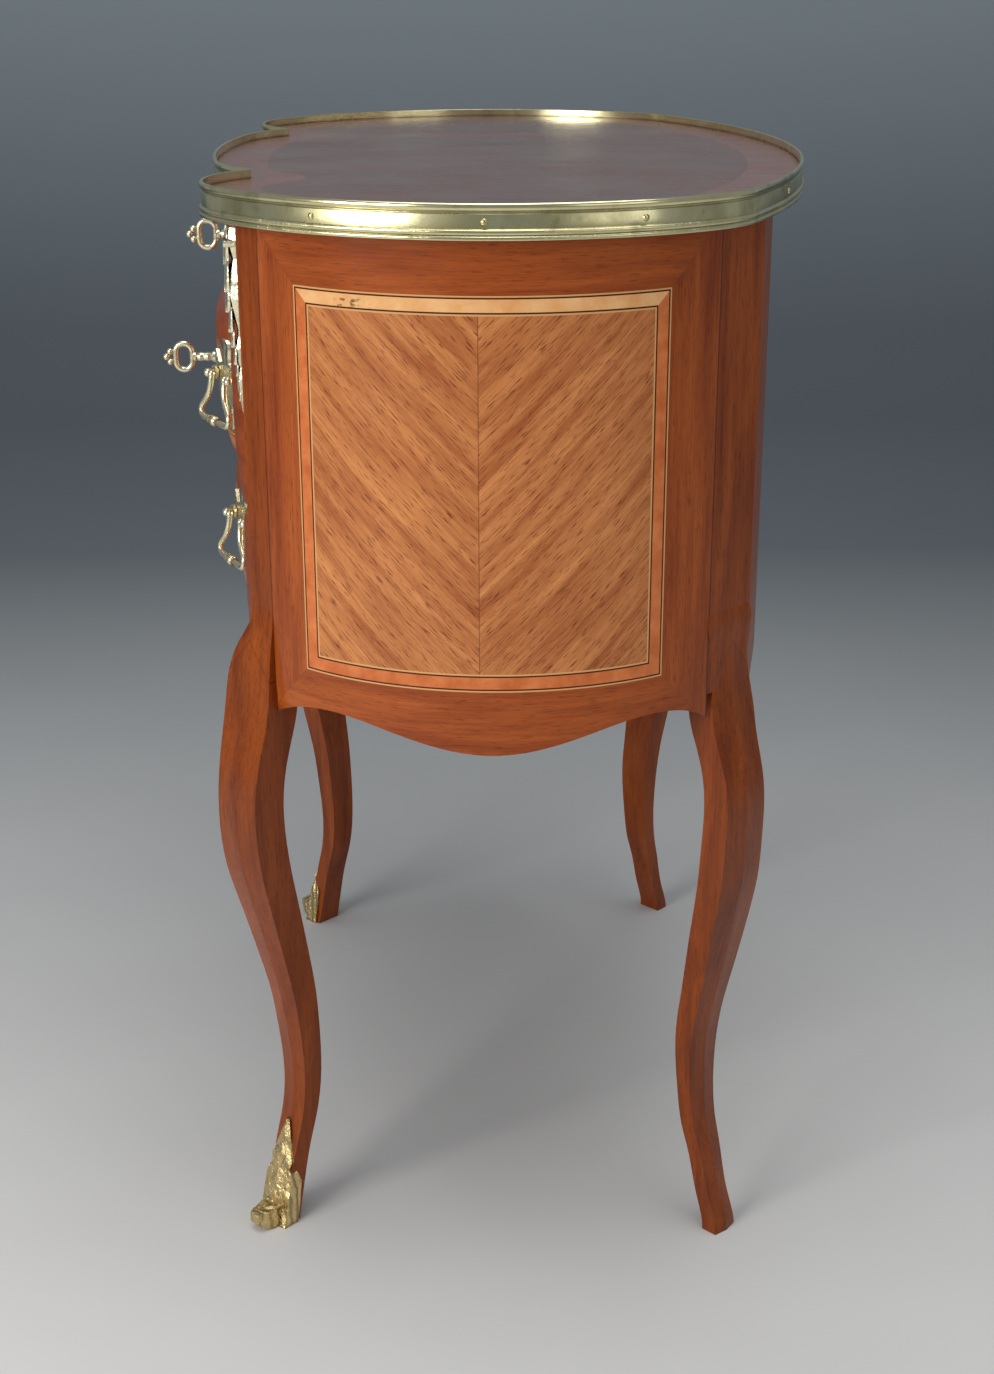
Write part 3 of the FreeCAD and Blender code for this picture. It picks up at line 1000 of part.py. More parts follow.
def build():
    pieces = {}
    pins = make_gallery_pins()
    screws = make_top_screws(0)
    pieces["top_board"] = make_top_board().cut(pins).cut(screws)
    pieces["brass_gallery"] = make_gallery().cut(pins)
    pieces["gallery_pins"] = pins
    pieces["top_screws"] = screws
    pieces["rear_top_rail"] = make_rear_rail().cut(make_top_screws(SCREW_GAP))
    front_leg = make_front_leg()
    rear_leg = make_rear_leg()
    side_panel = make_side_panel().cut(front_leg).cut(rear_leg)
    legs = Part.makeCompound([front_leg, mirrored(front_leg), rear_leg, mirrored(rear_leg)])
    for name, shape in (("front", front_leg), ("rear", rear_leg)):
        pieces["right_" + name + "_leg"] = shape
        pieces["left_" + name + "_leg"] = mirrored(shape)
    pieces["right_side_panel"] = side_panel
    pieces["left_side_panel"] = mirrored(side_panel)
    pieces["back_panel"] = make_back_panel()

    frieze_rail_top = FRIEZE_FRONT_Z[0] - DRAWER_GAP
    middle_rail_top = MIDDLE_FRONT_Z[0] - DRAWER_GAP
    bottom_top = LOWER_FRONT_Z[0] - DRAWER_GAP
    frieze_rail = make_rail(FRIEZE_FRONT_Z, MIDDLE_FRONT_Z)
    middle_rail = make_rail(MIDDLE_FRONT_Z, LOWER_FRONT_Z)
    top_rail = make_top_rail()
    pieces["middle_rail"] = middle_rail
    pieces["front_apron"] = make_front_apron(legs)
    pieces["bottom_board"] = make_bottom_board(legs, FRONT_BACK_Y)
    pieces["frieze_runners"] = make_runners(frieze_rail_top, RAIL_THICKNESS)
    pieces["middle_runners"] = make_runners(middle_rail_top, RAIL_THICKNESS)
    pieces["lower_runners"] = make_runners(bottom_top + BOTTOM_RUNNER, BOTTOM_RUNNER)
    pieces["frieze_dust_board"] = make_dust_board(frieze_rail_top - RAIL_THICKNESS, frieze_rail_top)
    pieces["middle_dust_board"] = make_dust_board(middle_rail_top - RAIL_THICKNESS, middle_rail_top)

    frieze = drawer_front_block(FRIEZE_FRONT_Z, FRIEZE_BULGE, RAIL_HOLLOW_HALF)
    middle = drawer_front_block(MIDDLE_FRONT_Z, MIDDLE_BULGE, FRONT_HOLLOW_HALF)
    lower = drawer_front_block(LOWER_FRONT_Z, LOWER_BULGE, FRONT_HOLLOW_HALF)

    frieze_lock_top = FRIEZE_FRONT_Z[1] - RUNNING_GAP
    middle_lock_top = frieze_rail_top - RAIL_THICKNESS - DRAWER_GAP
    frieze_mortise = bolt_box(FRIEZE_KEY_Z, frieze_lock_top, RUNNING_GAP, BOLT_THROW + RUNNING_GAP)
    pieces["top_rail"] = top_rail.cut(frieze_mortise).cut(make_top_screws(SCREW_GAP))
    pieces["frieze_rail"] = frieze_rail.cut(bolt_box(MIDDLE_KEY_Z, middle_lock_top, RUNNING_GAP,
                                                     BOLT_THROW + RUNNING_GAP))
    box_heights = ((frieze_rail_top + RUNNING_GAP, FRIEZE_FRONT_Z[1] - BOX_TOP_DROP),
                   (middle_rail_top + RUNNING_GAP, frieze_rail_top - RAIL_THICKNESS - BOX_TOP_DROP),
                   (bottom_top + BOTTOM_RUNNER + RUNNING_GAP, middle_rail_top - RAIL_THICKNESS - BOX_TOP_DROP))
    for name, block, box_z, hollow_half in zip(
            ("frieze_drawer", "middle_drawer", "lower_drawer"), (frieze, middle, lower), box_heights,
            (RAIL_HOLLOW_HALF, FRONT_HOLLOW_HALF, FRONT_HOLLOW_HALF)):
        pieces.update(make_drawer_box(name, block, box_z, hollow_half))

    for name, block, key_z, lock_top in (("frieze", frieze, FRIEZE_KEY_Z, frieze_lock_top),
                                         ("middle", middle, MIDDLE_KEY_Z, middle_lock_top)):
        front = name + "_drawer_front"
        pieces[front] = pieces[front].cut(keyhole(key_z, -KEY_REACH, -HOLLOW_Y + OVERRUN))
        pieces[name + "_lock"] = make_lock(key_z, lock_top)
        pieces[name + "_bolt"] = bolt_box(key_z, lock_top, 0, 0)
        pieces[name + "_escutcheon"] = make_escutcheon(block, key_z)
        bulge = FRIEZE_BULGE[1] if name == "frieze" else MIDDLE_BULGE[1]
        pieces[name + "_key"] = make_key(key_z, -CASE_FRONT - bulge - PLATE_THICKNESS)

    for name, block, handle_z, bulge in (("middle", middle, MIDDLE_HANDLE_Z, MIDDLE_BULGE[1]),
                                         ("lower", lower, LOWER_HANDLE_Z, LOWER_BULGE[1])):
        front = name + "_drawer_front"
        pieces[front] = pieces[front].cut(make_bolt_holes(handle_z, bulge))
        pieces[name + "_handle_nuts"] = make_handle_nuts(handle_z, bulge)
        for side, hand in ((1, "right_"), (-1, "left_")):
            pieces[hand + name + "_handle_plate"] = make_handle_plate(block, side, handle_z, bulge)
            pieces[hand + name + "_bail"] = make_bail(side, handle_z, bulge)

    chute = make_chute()
    sabot = make_sabot(front_leg)
    pieces["right_chute"] = chute
    pieces["left_chute"] = mirrored(chute)
    pieces["right_sabot"] = sabot
    pieces["left_sabot"] = mirrored(sabot)
    return pieces


def export(pieces):
    os.makedirs("parts", exist_ok=True)
    for name, shape in pieces.items():
        placed = shape.copy()
        placed.translate(V(0, MIDDLE_LINE_Y, 0))
        placed.exportStep("parts/" + name + ".step")
        extent = placed.BoundBox
        print(name, "solids", len(placed.Solids), "valid", placed.isValid(), "volume", round(placed.Volume),
              "x", round(extent.XMin, 1), round(extent.XMax, 1), "y", round(extent.YMin, 1),
              round(extent.YMax, 1), "z", round(extent.ZMin, 1), round(extent.ZMax, 1))


export(build())
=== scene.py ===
from math import atan2, cos, hypot, pi, radians, sin, sqrt

import bpy
from mathutils import Matrix, Vector


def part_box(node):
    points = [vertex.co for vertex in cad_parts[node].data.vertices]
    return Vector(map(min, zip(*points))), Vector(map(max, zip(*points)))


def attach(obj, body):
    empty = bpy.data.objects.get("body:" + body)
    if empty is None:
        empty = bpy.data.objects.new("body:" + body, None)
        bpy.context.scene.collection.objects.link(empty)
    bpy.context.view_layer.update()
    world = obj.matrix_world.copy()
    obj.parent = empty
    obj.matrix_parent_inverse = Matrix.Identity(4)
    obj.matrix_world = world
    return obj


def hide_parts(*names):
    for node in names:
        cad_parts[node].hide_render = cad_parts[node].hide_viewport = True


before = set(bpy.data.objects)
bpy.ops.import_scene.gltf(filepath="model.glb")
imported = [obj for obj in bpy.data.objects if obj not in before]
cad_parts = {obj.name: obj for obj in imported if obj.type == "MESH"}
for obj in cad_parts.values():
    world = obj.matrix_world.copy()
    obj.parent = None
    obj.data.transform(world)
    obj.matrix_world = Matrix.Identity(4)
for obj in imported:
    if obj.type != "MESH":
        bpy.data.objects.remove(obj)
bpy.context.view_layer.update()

# The view. The chest stands on a pale sweep of paper and is seen from its right end, a little
# from above, in soft light that comes mostly from the front left.
EYE = Vector((1.503, -0.009, 0.8867))
LOOK_DOWN = radians(20.38)
LOOK_ASIDE = radians(0.97)
HEAD_TILT = radians(-0.14)
FOCAL_PIXELS = 1995.5
PHOTO_HEIGHT_PIXELS = 1374
SENSOR = 36.0
NEAREST_SEEN = 0.02
FARTHEST_SEEN = 40.0

ahead = Vector((-cos(LOOK_DOWN) * cos(LOOK_ASIDE), cos(LOOK_DOWN) * sin(LOOK_ASIDE), -sin(LOOK_DOWN)))
camera_data = bpy.data.cameras.new("photo_camera")
camera_data.sensor_width = SENSOR
camera_data.sensor_fit = "AUTO"
camera_data.lens = FOCAL_PIXELS / PHOTO_HEIGHT_PIXELS * SENSOR
camera_data.clip_start = NEAREST_SEEN
camera_data.clip_end = FARTHEST_SEEN
camera = bpy.data.objects.new("photo_camera", camera_data)
bpy.context.scene.collection.objects.link(camera)
turn = ahead.to_track_quat("-Z", "Y").to_matrix() @ Matrix.Rotation(HEAD_TILT, 3, "Z")
camera.matrix_world = Matrix.Translation(EYE) @ turn.to_4x4()
bpy.context.scene.camera = camera
bpy.context.scene.view_settings.view_transform = "Standard"


def srgb(red, green, blue):
    """A colour given as a paint chart gives it, 0 to 255, for a node socket."""
    linear = []
    for value in (red, green, blue):
        share = value / 255
        linear.append(share / 12.92 if share <= 0.04045 else ((share + 0.055) / 1.055) ** 2.4)
    return (*linear, 1.0)


HOLLOW_SAMPLES = 8
CRISP_ANGLE = radians(38)


class Finish:
    """One material, whose pattern is built a node at a time on the piece's own coordinates."""

    def __init__(self, name, roughness=0.4, **fixed):
        self.material = bpy.data.materials.new(name)
        self.material.use_nodes = True
        self.tree = self.material.node_tree
        self.shader = self.tree.nodes["Principled BSDF"]
        self.shader.inputs["Roughness"].default_value = roughness
        for socket, value in fixed.items():
            self.shader.inputs[socket.replace("_", " ")].default_value = value
        place = self.tree.nodes.new("ShaderNodeTexCoord")
        self.place = place.outputs["Object"]
        split = self.tree.nodes.new("ShaderNodeSeparateXYZ")
        self.tree.links.new(self.place, split.inputs[0])
        self.x, self.y, self.z = split.outputs
        self.normal = place.outputs["Normal"]

    def feed(self, socket, value):
        if isinstance(value, bpy.types.NodeSocket):
            self.tree.links.new(value, socket)
        else:
            socket.default_value = value

    def math(self, operation, *values):
        node = self.tree.nodes.new("ShaderNodeMath")
        node.operation = operation
        for socket, value in zip(node.inputs, values):
            self.feed(socket, value)
        return node.outputs[0]

    def add(self, a, b):
        return self.math("ADD", a, b)

    def less(self, a, b):
        return self.math("SUBTRACT", a, b)

    def times(self, a, b):
        return self.math("MULTIPLY", a, b)

    def vector(self, x, y, z):
        node = self.tree.nodes.new("ShaderNodeCombineXYZ")
        for socket, value in zip(node.inputs, (x, y, z)):
            self.feed(socket, value)
        return node.outputs[0]

    def attribute(self, name):
        """A value that the mesh itself carries at each of its points."""
        node = self.tree.nodes.new("ShaderNodeAttribute")
        node.attribute_name = name
        return node.outputs["Fac"]

    def line(self, distance, half_width, soft=0.00015):
        """1 on a thin line where a distance is nearly nothing, 0 away from it."""
        off = self.math("ABSOLUTE", distance)
        return self.less(1.0, self.spread(off, half_width - soft, half_width + soft))

    def over(self, value, edge, soft=0.00012):
        """0 below an edge and 1 above it, with the thinnest blend between."""
        return self.spread(value, edge - soft, edge + soft)

    def noise(self, where, scale, detail=3.0, rough=0.55, distortion=0.0):
        node = self.tree.nodes.new("ShaderNodeTexNoise")
        self.feed(node.inputs["Vector"], where)
        node.inputs["Scale"].default_value = scale
        node.inputs["Detail"].default_value = detail
        node.inputs["Roughness"].default_value = rough
        node.inputs["Distortion"].default_value = distortion
        return node.outputs["Fac"]

    def spread(self, value, low, high, to_low=0.0, to_high=1.0):
        """Stretch the range low to high of a value over to_low to to_high, and hold it there."""
        node = self.tree.nodes.new("ShaderNodeMapRange")
        self.feed(node.inputs["Value"], value)
        node.inputs["From Min"].default_value = low
        node.inputs["From Max"].default_value = high
        node.inputs["To Min"].default_value = to_low
        node.inputs["To Max"].default_value = to_high
        return node.outputs[0]

    def mix(self, share, a, b, blend="MIX"):
        node = self.tree.nodes.new("ShaderNodeMix")
        node.data_type = "RGBA"
        node.blend_type = blend
        self.feed(node.inputs[0], share)
        self.feed(node.inputs[6], a)
        self.feed(node.inputs[7], b)
        return node.outputs[2]

    def color(self, value):
        self.feed(self.shader.inputs["Base Color"], value)

    def roughness(self, value):
        self.feed(self.shader.inputs["Roughness"], value)

    def bump(self, height, distance, strength=1.0):
        node = self.tree.nodes.new("ShaderNodeBump")
        self.feed(node.inputs["Height"], height)
        node.inputs["Distance"].default_value = distance
        node.inputs["Strength"].default_value = strength
        self.tree.links.new(node.outputs["Normal"], self.shader.inputs["Normal"])

    def shade_of_hollows(self, reach):
        """How open each point is: 1 on the flat and on high places, towards 0 in hollows."""
        node = self.tree.nodes.new("ShaderNodeAmbientOcclusion")
        node.inputs["Distance"].default_value = reach
        node.samples = HOLLOW_SAMPLES
        return node.outputs["AO"]


def mesh_piece(name, verts, faces, material, smooth=True):
    """A piece from its points and faces, in place, with its finish on."""
    mesh = bpy.data.meshes.new(name)
    mesh.from_pydata(verts, [], faces)
    mesh.validate()
    mesh.polygons.foreach_set("use_smooth", [smooth] * len(mesh.polygons))
    mesh.set_sharp_from_angle(angle=CRISP_ANGLE)
    mesh.materials.append(material)
    piece = bpy.data.objects.new(name, mesh)
    bpy.context.scene.collection.objects.link(piece)
    return piece


FLOOR_HALF = 3.5
SWEEP_START = 2.4
SWEEP_RADIUS = 1.2
SWEEP_HEIGHT = 4.0
SWEEP_STEPS = 24
SHADE_FAR_X = -1.5
SHADE_NEAR_X = 0.35

paper = Finish("pale_floor", roughness=0.85)
paper_cloud = paper.noise(paper.place, 1.6, 4.0)
paper_pale = paper.mix(paper.spread(paper_cloud, 0.3, 0.7), srgb(214, 212, 209), srgb(224, 222, 219))
# The floor darkens towards the back, and the backdrop is dark at its foot and pale above: painted shade, for
# the chest's shadow and the dim foot of the sweep.
backdrop_painted_shade = paper.mix(paper.spread(paper.z, 0.1, 1.5), srgb(112, 118, 122), srgb(206, 217, 221))
paper.color(paper.mix(paper.spread(paper.x, SHADE_FAR_X, SHADE_NEAR_X), backdrop_painted_shade, paper_pale))
paper_profile = [(FLOOR_HALF, 0.0), (-SWEEP_START, 0.0)]
for step in range(1, SWEEP_STEPS + 1):
    angle = pi / 2 * step / SWEEP_STEPS
    paper_profile.append((-SWEEP_START - SWEEP_RADIUS * sin(angle), SWEEP_RADIUS * (1 - cos(angle))))
paper_profile.append((-SWEEP_START - SWEEP_RADIUS, SWEEP_HEIGHT))
paper_verts = [(x, side * FLOOR_HALF, z) for x, z in paper_profile for side in (-1, 1)]
paper_faces = [(2 * i, 2 * i + 2, 2 * i + 3, 2 * i + 1) for i in range(len(paper_profile) - 1)]
mesh_piece("floor", paper_verts, paper_faces, paper.material)

WORLD_COLOUR = srgb(190, 198, 206)
WORLD_STRENGTH = 0.46
world = bpy.data.worlds.new("studio")
world.use_nodes = True
world.node_tree.nodes["Background"].inputs["Color"].default_value = WORLD_COLOUR
world.node_tree.nodes["Background"].inputs["Strength"].default_value = WORLD_STRENGTH
bpy.context.scene.world = world


def soft_box(name, place, aim, width, height, watts):
    """A large soft lamp at a place, aimed at a point."""
    data = bpy.data.lights.new(name, "AREA")
    data.shape = "RECTANGLE"
    data.size = width
    data.size_y = height
    data.energy = watts
    lamp = bpy.data.objects.new(name, data)
    bpy.context.scene.collection.objects.link(lamp)
    lamp.location = place
    lamp.rotation_euler = (Vector(aim) - Vector(place)).to_track_quat("-Z", "Y").to_euler()


soft_box("key_lamp", (1.75, -1.6, 1.25), (0.15, 0.0, 0.42), 1.1, 1.1, 31)
soft_box("fill_lamp", (2.0, 1.5, 1.3), (0.15, 0.0, 0.4), 1.2, 1.2, 4)
soft_box("top_lamp", (0.25, 0.1, 2.5), (0.1, 0.0, 0.5), 1.7, 1.7, 27)


# The four legs. Each is one piece with its stile, veneered down its faces, with a crisp arris,
# and a joint of the veneer that rises in a V to the arris at the knee.
GLOSS = {"Coat_Weight": 0.1, "Coat_Roughness": 0.12, "Specular_IOR_Level": 0.22}
GRAIN_STRETCH = 0.1
STREAK_STRETCH = 0.035
PORE_STRETCH = 0.075
PORE_SCALE = 1250.0


def wood_figure(finish, along, across, deep, ribbon=70.0, streak=420.0, pores=0.5):
    """The figure of a thin sawn leaf of wood: soft ribbons, fine streaks and short dark pores.

    Gives the figure's value, from 0, dark, to 1, light, and how strongly a pore shows.
    """
    def stretched(share):
        return finish.vector(finish.times(along, share), across, deep)

    ribbons = finish.noise(stretched(GRAIN_STRETCH), ribbon, 3.0, 0.6, 0.35)
    streaks = finish.noise(stretched(STREAK_STRETCH), streak, 4.0, 0.65, 0.2)
    flecks = finish.noise(stretched(PORE_STRETCH), PORE_SCALE, 2.0, 0.5)
    value = finish.add(finish.times(finish.spread(ribbons, 0.3, 0.7), 0.62),
                       finish.times(finish.spread(streaks, 0.25, 0.75), 0.38))
    return value, finish.times(finish.spread(flecks, 0.56, 0.68), pores)


def wood_colour(finish, value, pore, dark, light, pore_colour):
    """A leaf's colour: from dark to light with its figure, and the pores' own colour in them."""
    return finish.mix(pore, finish.mix(value, dark, light), pore_colour)


def rub(finish, value, pore, low, high):
    """The polish of a veneer: a little duller in its pores and in clouds, and sunk over them."""
    cloud = finish.spread(finish.noise(finish.place, 14.0, 3.0), 0.35, 0.7)
    finish.roughness(finish.add(finish.spread(cloud, 0.0, 1.0, low, high), finish.times(pore, 0.2)))
    finish.bump(finish.less(finish.times(value, 0.25), pore), 0.00006, 0.6)


def dress(material, *nodes):
    """Give CAD pieces that keep their shape a finish, on every slot."""
    for node in nodes:
        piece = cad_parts[node]
        if not piece.data.materials:
            piece.data.materials.append(material)
        for slot in piece.material_slots:
            slot.material = material


FRONT_ARRIS = (0.2443, -0.1491)
REAR_ARRIS = (0.2566, 0.1684)
KNEE_JOINT_Z = 0.455
KNEE_JOINT_SLOPE = 1.2
LEG_DARK = srgb(100, 37, 7)
LEG_LIGHT = srgb(174, 84, 24)
LEG_PORE = srgb(62, 20, 6)


def leg_finish(name, arris, way):
    """Veneer that runs up a leg, with its joint in a V about the arris at a place (x, y)."""
    finish = Finish(name, roughness=0.3, **GLOSS)
    value, pore = wood_figure(finish, finish.z, finish.x, finish.y, 60.0)
    colour = wood_colour(finish, value, pore, LEG_DARK, LEG_LIGHT, LEG_PORE)
    off_x = finish.less(arris[0], finish.math("ABSOLUTE", finish.x))
    off_y = finish.times(finish.less(finish.y, arris[1]), way)
    across = finish.math("ABSOLUTE", finish.times(finish.add(off_x, off_y), sqrt(0.5)))
    rise = finish.add(finish.less(finish.z, KNEE_JOINT_Z), finish.times(across, KNEE_JOINT_SLOPE))
    colour = finish.mix(finish.times(finish.line(rise, 0.0004, 0.0003), 0.55), colour, LEG_PORE)
    below = finish.less(1.0, finish.over(rise, 0.0))
    colour = finish.mix(finish.times(below, 0.12), colour, LEG_PORE)
    finish.color(colour)
    rub(finish, value, pore, 0.2, 0.34)
    return finish.material


dress(leg_finish("front_leg_veneer", FRONT_ARRIS, -1.0), "right_front_leg", "left_front_leg")
dress(leg_finish("rear_leg_veneer", REAR_ARRIS, 1.0), "right_rear_leg", "left_rear_leg")

# The side panels: a herringbone field of two mirrored leaves inside a band of pale and dark
# strings, and a redder border whose grain runs along each edge and is mitred at the corners.
# A dark line shows where each panel meets its stiles, the joint with a painted shadow of its gap, and the top
# band has a small repair.
SIDE_CENTRE = (0.137, 0.015)
SIDE_RADIUS = 0.193
SIDE_JOINTS = (-0.1718, 0.1495)
FIELD_MIDDLE = -0.0153
FIELD_HALF_WIDTH = 0.1227
FIELD_MIDDLE_Z = 0.5708
FIELD_HALF_HEIGHT = 0.1238
SEAM_PLACE = -0.0150
STRINGS = (0.0, 0.0010, 0.0020, 0.0098, 0.0108, 0.0119)
PALE_STRING = srgb(226, 168, 106)
DARK_STRING = srgb(70, 20, 8)
CHIPS_PLACE = (-0.0935, 0.6875)
CHIPS_HALF_SIZE = (0.013, 0.0035)

side = Finish("side_veneer", roughness=0.32, **GLOSS)
side_out = side.less(side.math("ABSOLUTE", side.x), SIDE_CENTRE[0])
side_along = side.times(side.math("ARCTAN2", side.less(side.y, SIDE_CENTRE[1]), side_out), SIDE_RADIUS)
past_side = side.less(side.math("ABSOLUTE", side.less(side_along, FIELD_MIDDLE)), FIELD_HALF_WIDTH)
past_top = side.less(side.math("ABSOLUTE", side.less(side.z, FIELD_MIDDLE_Z)), FIELD_HALF_HEIGHT)
inside = side.times(side.math("MAXIMUM", past_side, past_top), -1.0)

from_seam = side.math("ABSOLUTE", side.less(side_along, SEAM_PLACE))
slant_across = side.times(side.less(side.z, from_seam), sqrt(0.5))
slant_along = side.times(side.add(side.z, from_seam), sqrt(0.5))
leaf = side.math("SIGN", side.less(side_along, SEAM_PLACE))
leaf_deep = side.times(leaf, 0.02)
field_value, field_pore = wood_figure(side, slant_along, slant_across, leaf_deep, 95.0, 520.0, 0.9)
field = wood_colour(side, field_value, field_pore, srgb(146, 64, 24), srgb(234, 156, 92), srgb(112, 42, 14))
field = side.mix(side.times(side.line(from_seam, 0.0003), 0.6), field, srgb(96, 40, 14))

across_border = side.over(side.less(past_side, past_top), 0.0)
upright_value, upright_pore = wood_figure(side, side.z, side_along, 0.0, 60.0)
level_value, level_pore = wood_figure(side, side_along, side.z, 0.3, 60.0)
border_value = side.add(side.times(across_border, upright_value),
                        side.times(side.less(1.0, across_border), level_value))
border_pore = side.add(side.times(across_border, upright_pore),
                       side.times(side.less(1.0, across_border), level_pore))
border = wood_colour(side, border_value, border_pore, srgb(122, 44, 10), srgb(192, 98, 40), srgb(72, 24, 6))
mitre = side.line(side.less(past_side, past_top), 0.0002)
border = side.mix(side.times(mitre, 0.3), border, srgb(72, 26, 8))
# At each joint a dark line is drawn: the joint itself, and a painted shadow of the gap that the flush pieces
# lack.
for joint in SIDE_JOINTS:
    past_joint = side.less(side_along, joint)
    border = side.mix(side.times(side.line(past_joint, 0.0009, 0.0006), 0.85), border, srgb(44, 14, 5))
    beyond = side.over(side.times(past_joint, 1.0 if joint > 0 else -1.0), 0.0)
    border = side.mix(side.times(beyond, 0.8), border, srgb(64, 26, 10))

band_cloud = side.spread(side.noise(side.place, 70.0, 4.0), 0.3, 0.7)
band = side.mix(band_cloud, srgb(198, 98, 46), srgb(230, 134, 74))
# The band's upper run is painted much paler than the rest: painted light, to lift the shade that the
# overhanging top casts on it.
painted_light_top_band = side.times(side.less(1.0, across_border), side.over(side.z, FIELD_MIDDLE_Z))
band = side.mix(painted_light_top_band, band, side.mix(band_cloud, srgb(238, 166, 100), srgb(252, 198, 136)))
chip_x = side.less(side.math("ABSOLUTE", side.less(side_along, CHIPS_PLACE[0])), CHIPS_HALF_SIZE[0])
chip_z = side.less(side.math("ABSOLUTE", side.less(side.z, CHIPS_PLACE[1])), CHIPS_HALF_SIZE[1])
chipped = side.less(1.0, side.spread(side.math("MAXIMUM", chip_x, chip_z), -0.002, 0.0))
chip_grain = side.noise(side.vector(side.times(side_along, 0.5), 0.0, side.z), 420.0, 3.0)
chip = side.times(chipped, side.spread(chip_grain, 0.52, 0.58))
band = side.mix(side.times(chip, 0.8), band, srgb(74, 44, 26))
colour = border
for edge, leaf_colour in zip(STRINGS, (PALE_STRING, DARK_STRING, band, DARK_STRING, PALE_STRING, field)):
    colour = side.mix(side.over(inside, edge), colour, leaf_colour)
side.color(colour)
in_field = side.over(inside, STRINGS[-1])
rub(side, side.mix(in_field, border_value, field_value), side.mix(in_field, border_pore, field_pore),
    0.22, 0.38)
dress(side.material, "right_side_panel", "left_side_panel")

# The back panel, the front apron and the rails between the drawers: plain leaves, with their
# grain upright on the back and level on the front.
back = Finish("back_veneer", roughness=0.34, **GLOSS)
back_value, back_pore = wood_figure(back, back.z, back.x, back.y, 42.0)
back.color(wood_colour(back, back_value, back_pore, srgb(122, 48, 14), srgb(168, 82, 32), srgb(66, 24, 8)))
rub(back, back_value, back_pore, 0.26, 0.42)
dress(back.material, "back_panel")
rail = Finish("rail_veneer", roughness=0.3, **GLOSS)
rail_value, rail_pore = wood_figure(rail, rail.x, rail.z, rail.y, 60.0)
rail.color(wood_colour(rail, rail_value, rail_pore, srgb(124, 50, 14), srgb(172, 86, 34), srgb(66, 24, 8)))
rub(rail, rail_value, rail_pore, 0.22, 0.36)
dress(rail.material, "front_apron", "top_rail", "frieze_rail", "middle_rail")

# Inside the case: planed oak boards, rails and runners, a little grey with age.
OAK = {"shades": (srgb(128, 92, 54), srgb(178, 136, 84), srgb(84, 56, 30)), "ray": srgb(206, 170, 118),
       "grime": srgb(84, 68, 48), "grime_share": 0.3, "rough": (0.72, 0.52)}
OAK_FIGURE = (60.0, 300.0, 0.8)


def oak_finish(name, axes, oak):
    """Planed oak whose grain runs along the first axis, with rays and open pores."""
    finish = Finish(name, Specular_IOR_Level=0.3)
    along, across, deep = (getattr(finish, axis) for axis in axes)
    value, pore = wood_figure(finish, along, across, deep, *OAK_FIGURE)
    rays = finish.noise(finish.vector(finish.times(along, 0.2), across, deep), 700.0, 1.0)
    colour = wood_colour(finish, value, pore, *oak["shades"])
    colour = finish.mix(finish.times(finish.spread(rays, 0.66, 0.72), 0.35), colour, oak["ray"])
    grime = finish.spread(finish.noise(finish.place, 9.0, 4.0), 0.45, 0.75)
    finish.color(finish.mix(finish.times(grime, oak["grime_share"]), colour, oak["grime"]))
    finish.roughness(finish.spread(value, 0.0, 1.0, *oak["rough"]))
    finish.bump(finish.less(value, pore), 0.00012, 0.7)
    return finish.material


oak_level = oak_finish("carcase_oak", "xyz", OAK)
oak_deep = oak_finish("runner_oak", "yxz", OAK)
dress(oak_level, "rear_top_rail", "bottom_board", "frieze_dust_board", "middle_dust_board")
dress(oak_deep, "frieze_runners", "middle_runners", "lower_runners")

# The top board: a veneered slab. Its outline has a long middle lobe, two cusps, two small lobes
# that run into the round ends, and a bowed back. A border of cross-cut leaf follows it, round a
# field of streaky leaf that runs from front to back and is joined in the middle.
MM = 0.001
TOP_MIDDLE_Y = 15.0
END_RADIUS = 213.0
MIDDLE_RADIUS = 560.0
SHOULDER_RADIUS = 110.0
LOBE_RADIUS = 80.0
BACK_RADIUS = 620.0
CORNER_RADIUS = 90.0
MIDDLE_CENTRE = (0.0, 358.0)
END_CENTRE = (137.0, 0.0)
BACK_CENTRE = (0.0, -400.0)
TOP_CUSP = (156.0, -165.0)


def crossings(centre_a, radius_a, centre_b, radius_b):
    """Both points where two circles of the plan cross."""
    apart_x = centre_b[0] - centre_a[0]
    apart_y = centre_b[1] - centre_a[1]
    apart = hypot(apart_x, apart_y)
    along = (radius_a ** 2 - radius_b ** 2 + apart ** 2) / (2 * apart)
    across = sqrt(radius_a ** 2 - along ** 2)
    foot = (centre_a[0] + apart_x * along / apart, centre_a[1] + apart_y * along / apart)
    step = (-apart_y * across / apart, apart_x * across / apart)
    return (foot[0] + step[0], foot[1] + step[1]), (foot[0] - step[0], foot[1] - step[1])


SHOULDER_CENTRE = min(crossings(MIDDLE_CENTRE, MIDDLE_RADIUS - SHOULDER_RADIUS, TOP_CUSP, SHOULDER_RADIUS))
LOBE_CENTRE = max(crossings(END_CENTRE, END_RADIUS - LOBE_RADIUS, TOP_CUSP, LOBE_RADIUS))
CORNER_CENTRE = max(crossings(END_CENTRE, END_RADIUS - CORNER_RADIUS,
                              BACK_CENTRE, BACK_RADIUS - CORNER_RADIUS))
CUSP_LEAST = 0.15
ARC_STEPS = {"middle": 36, "shoulder": 14, "cusp": 8, "lobe": 40, "end": 84, "corner": 24, "back": 42}


def bearing(centre, point):
    """The angle at which a point is seen from a centre."""
    return atan2(point[1] - centre[1], point[0] - centre[0])


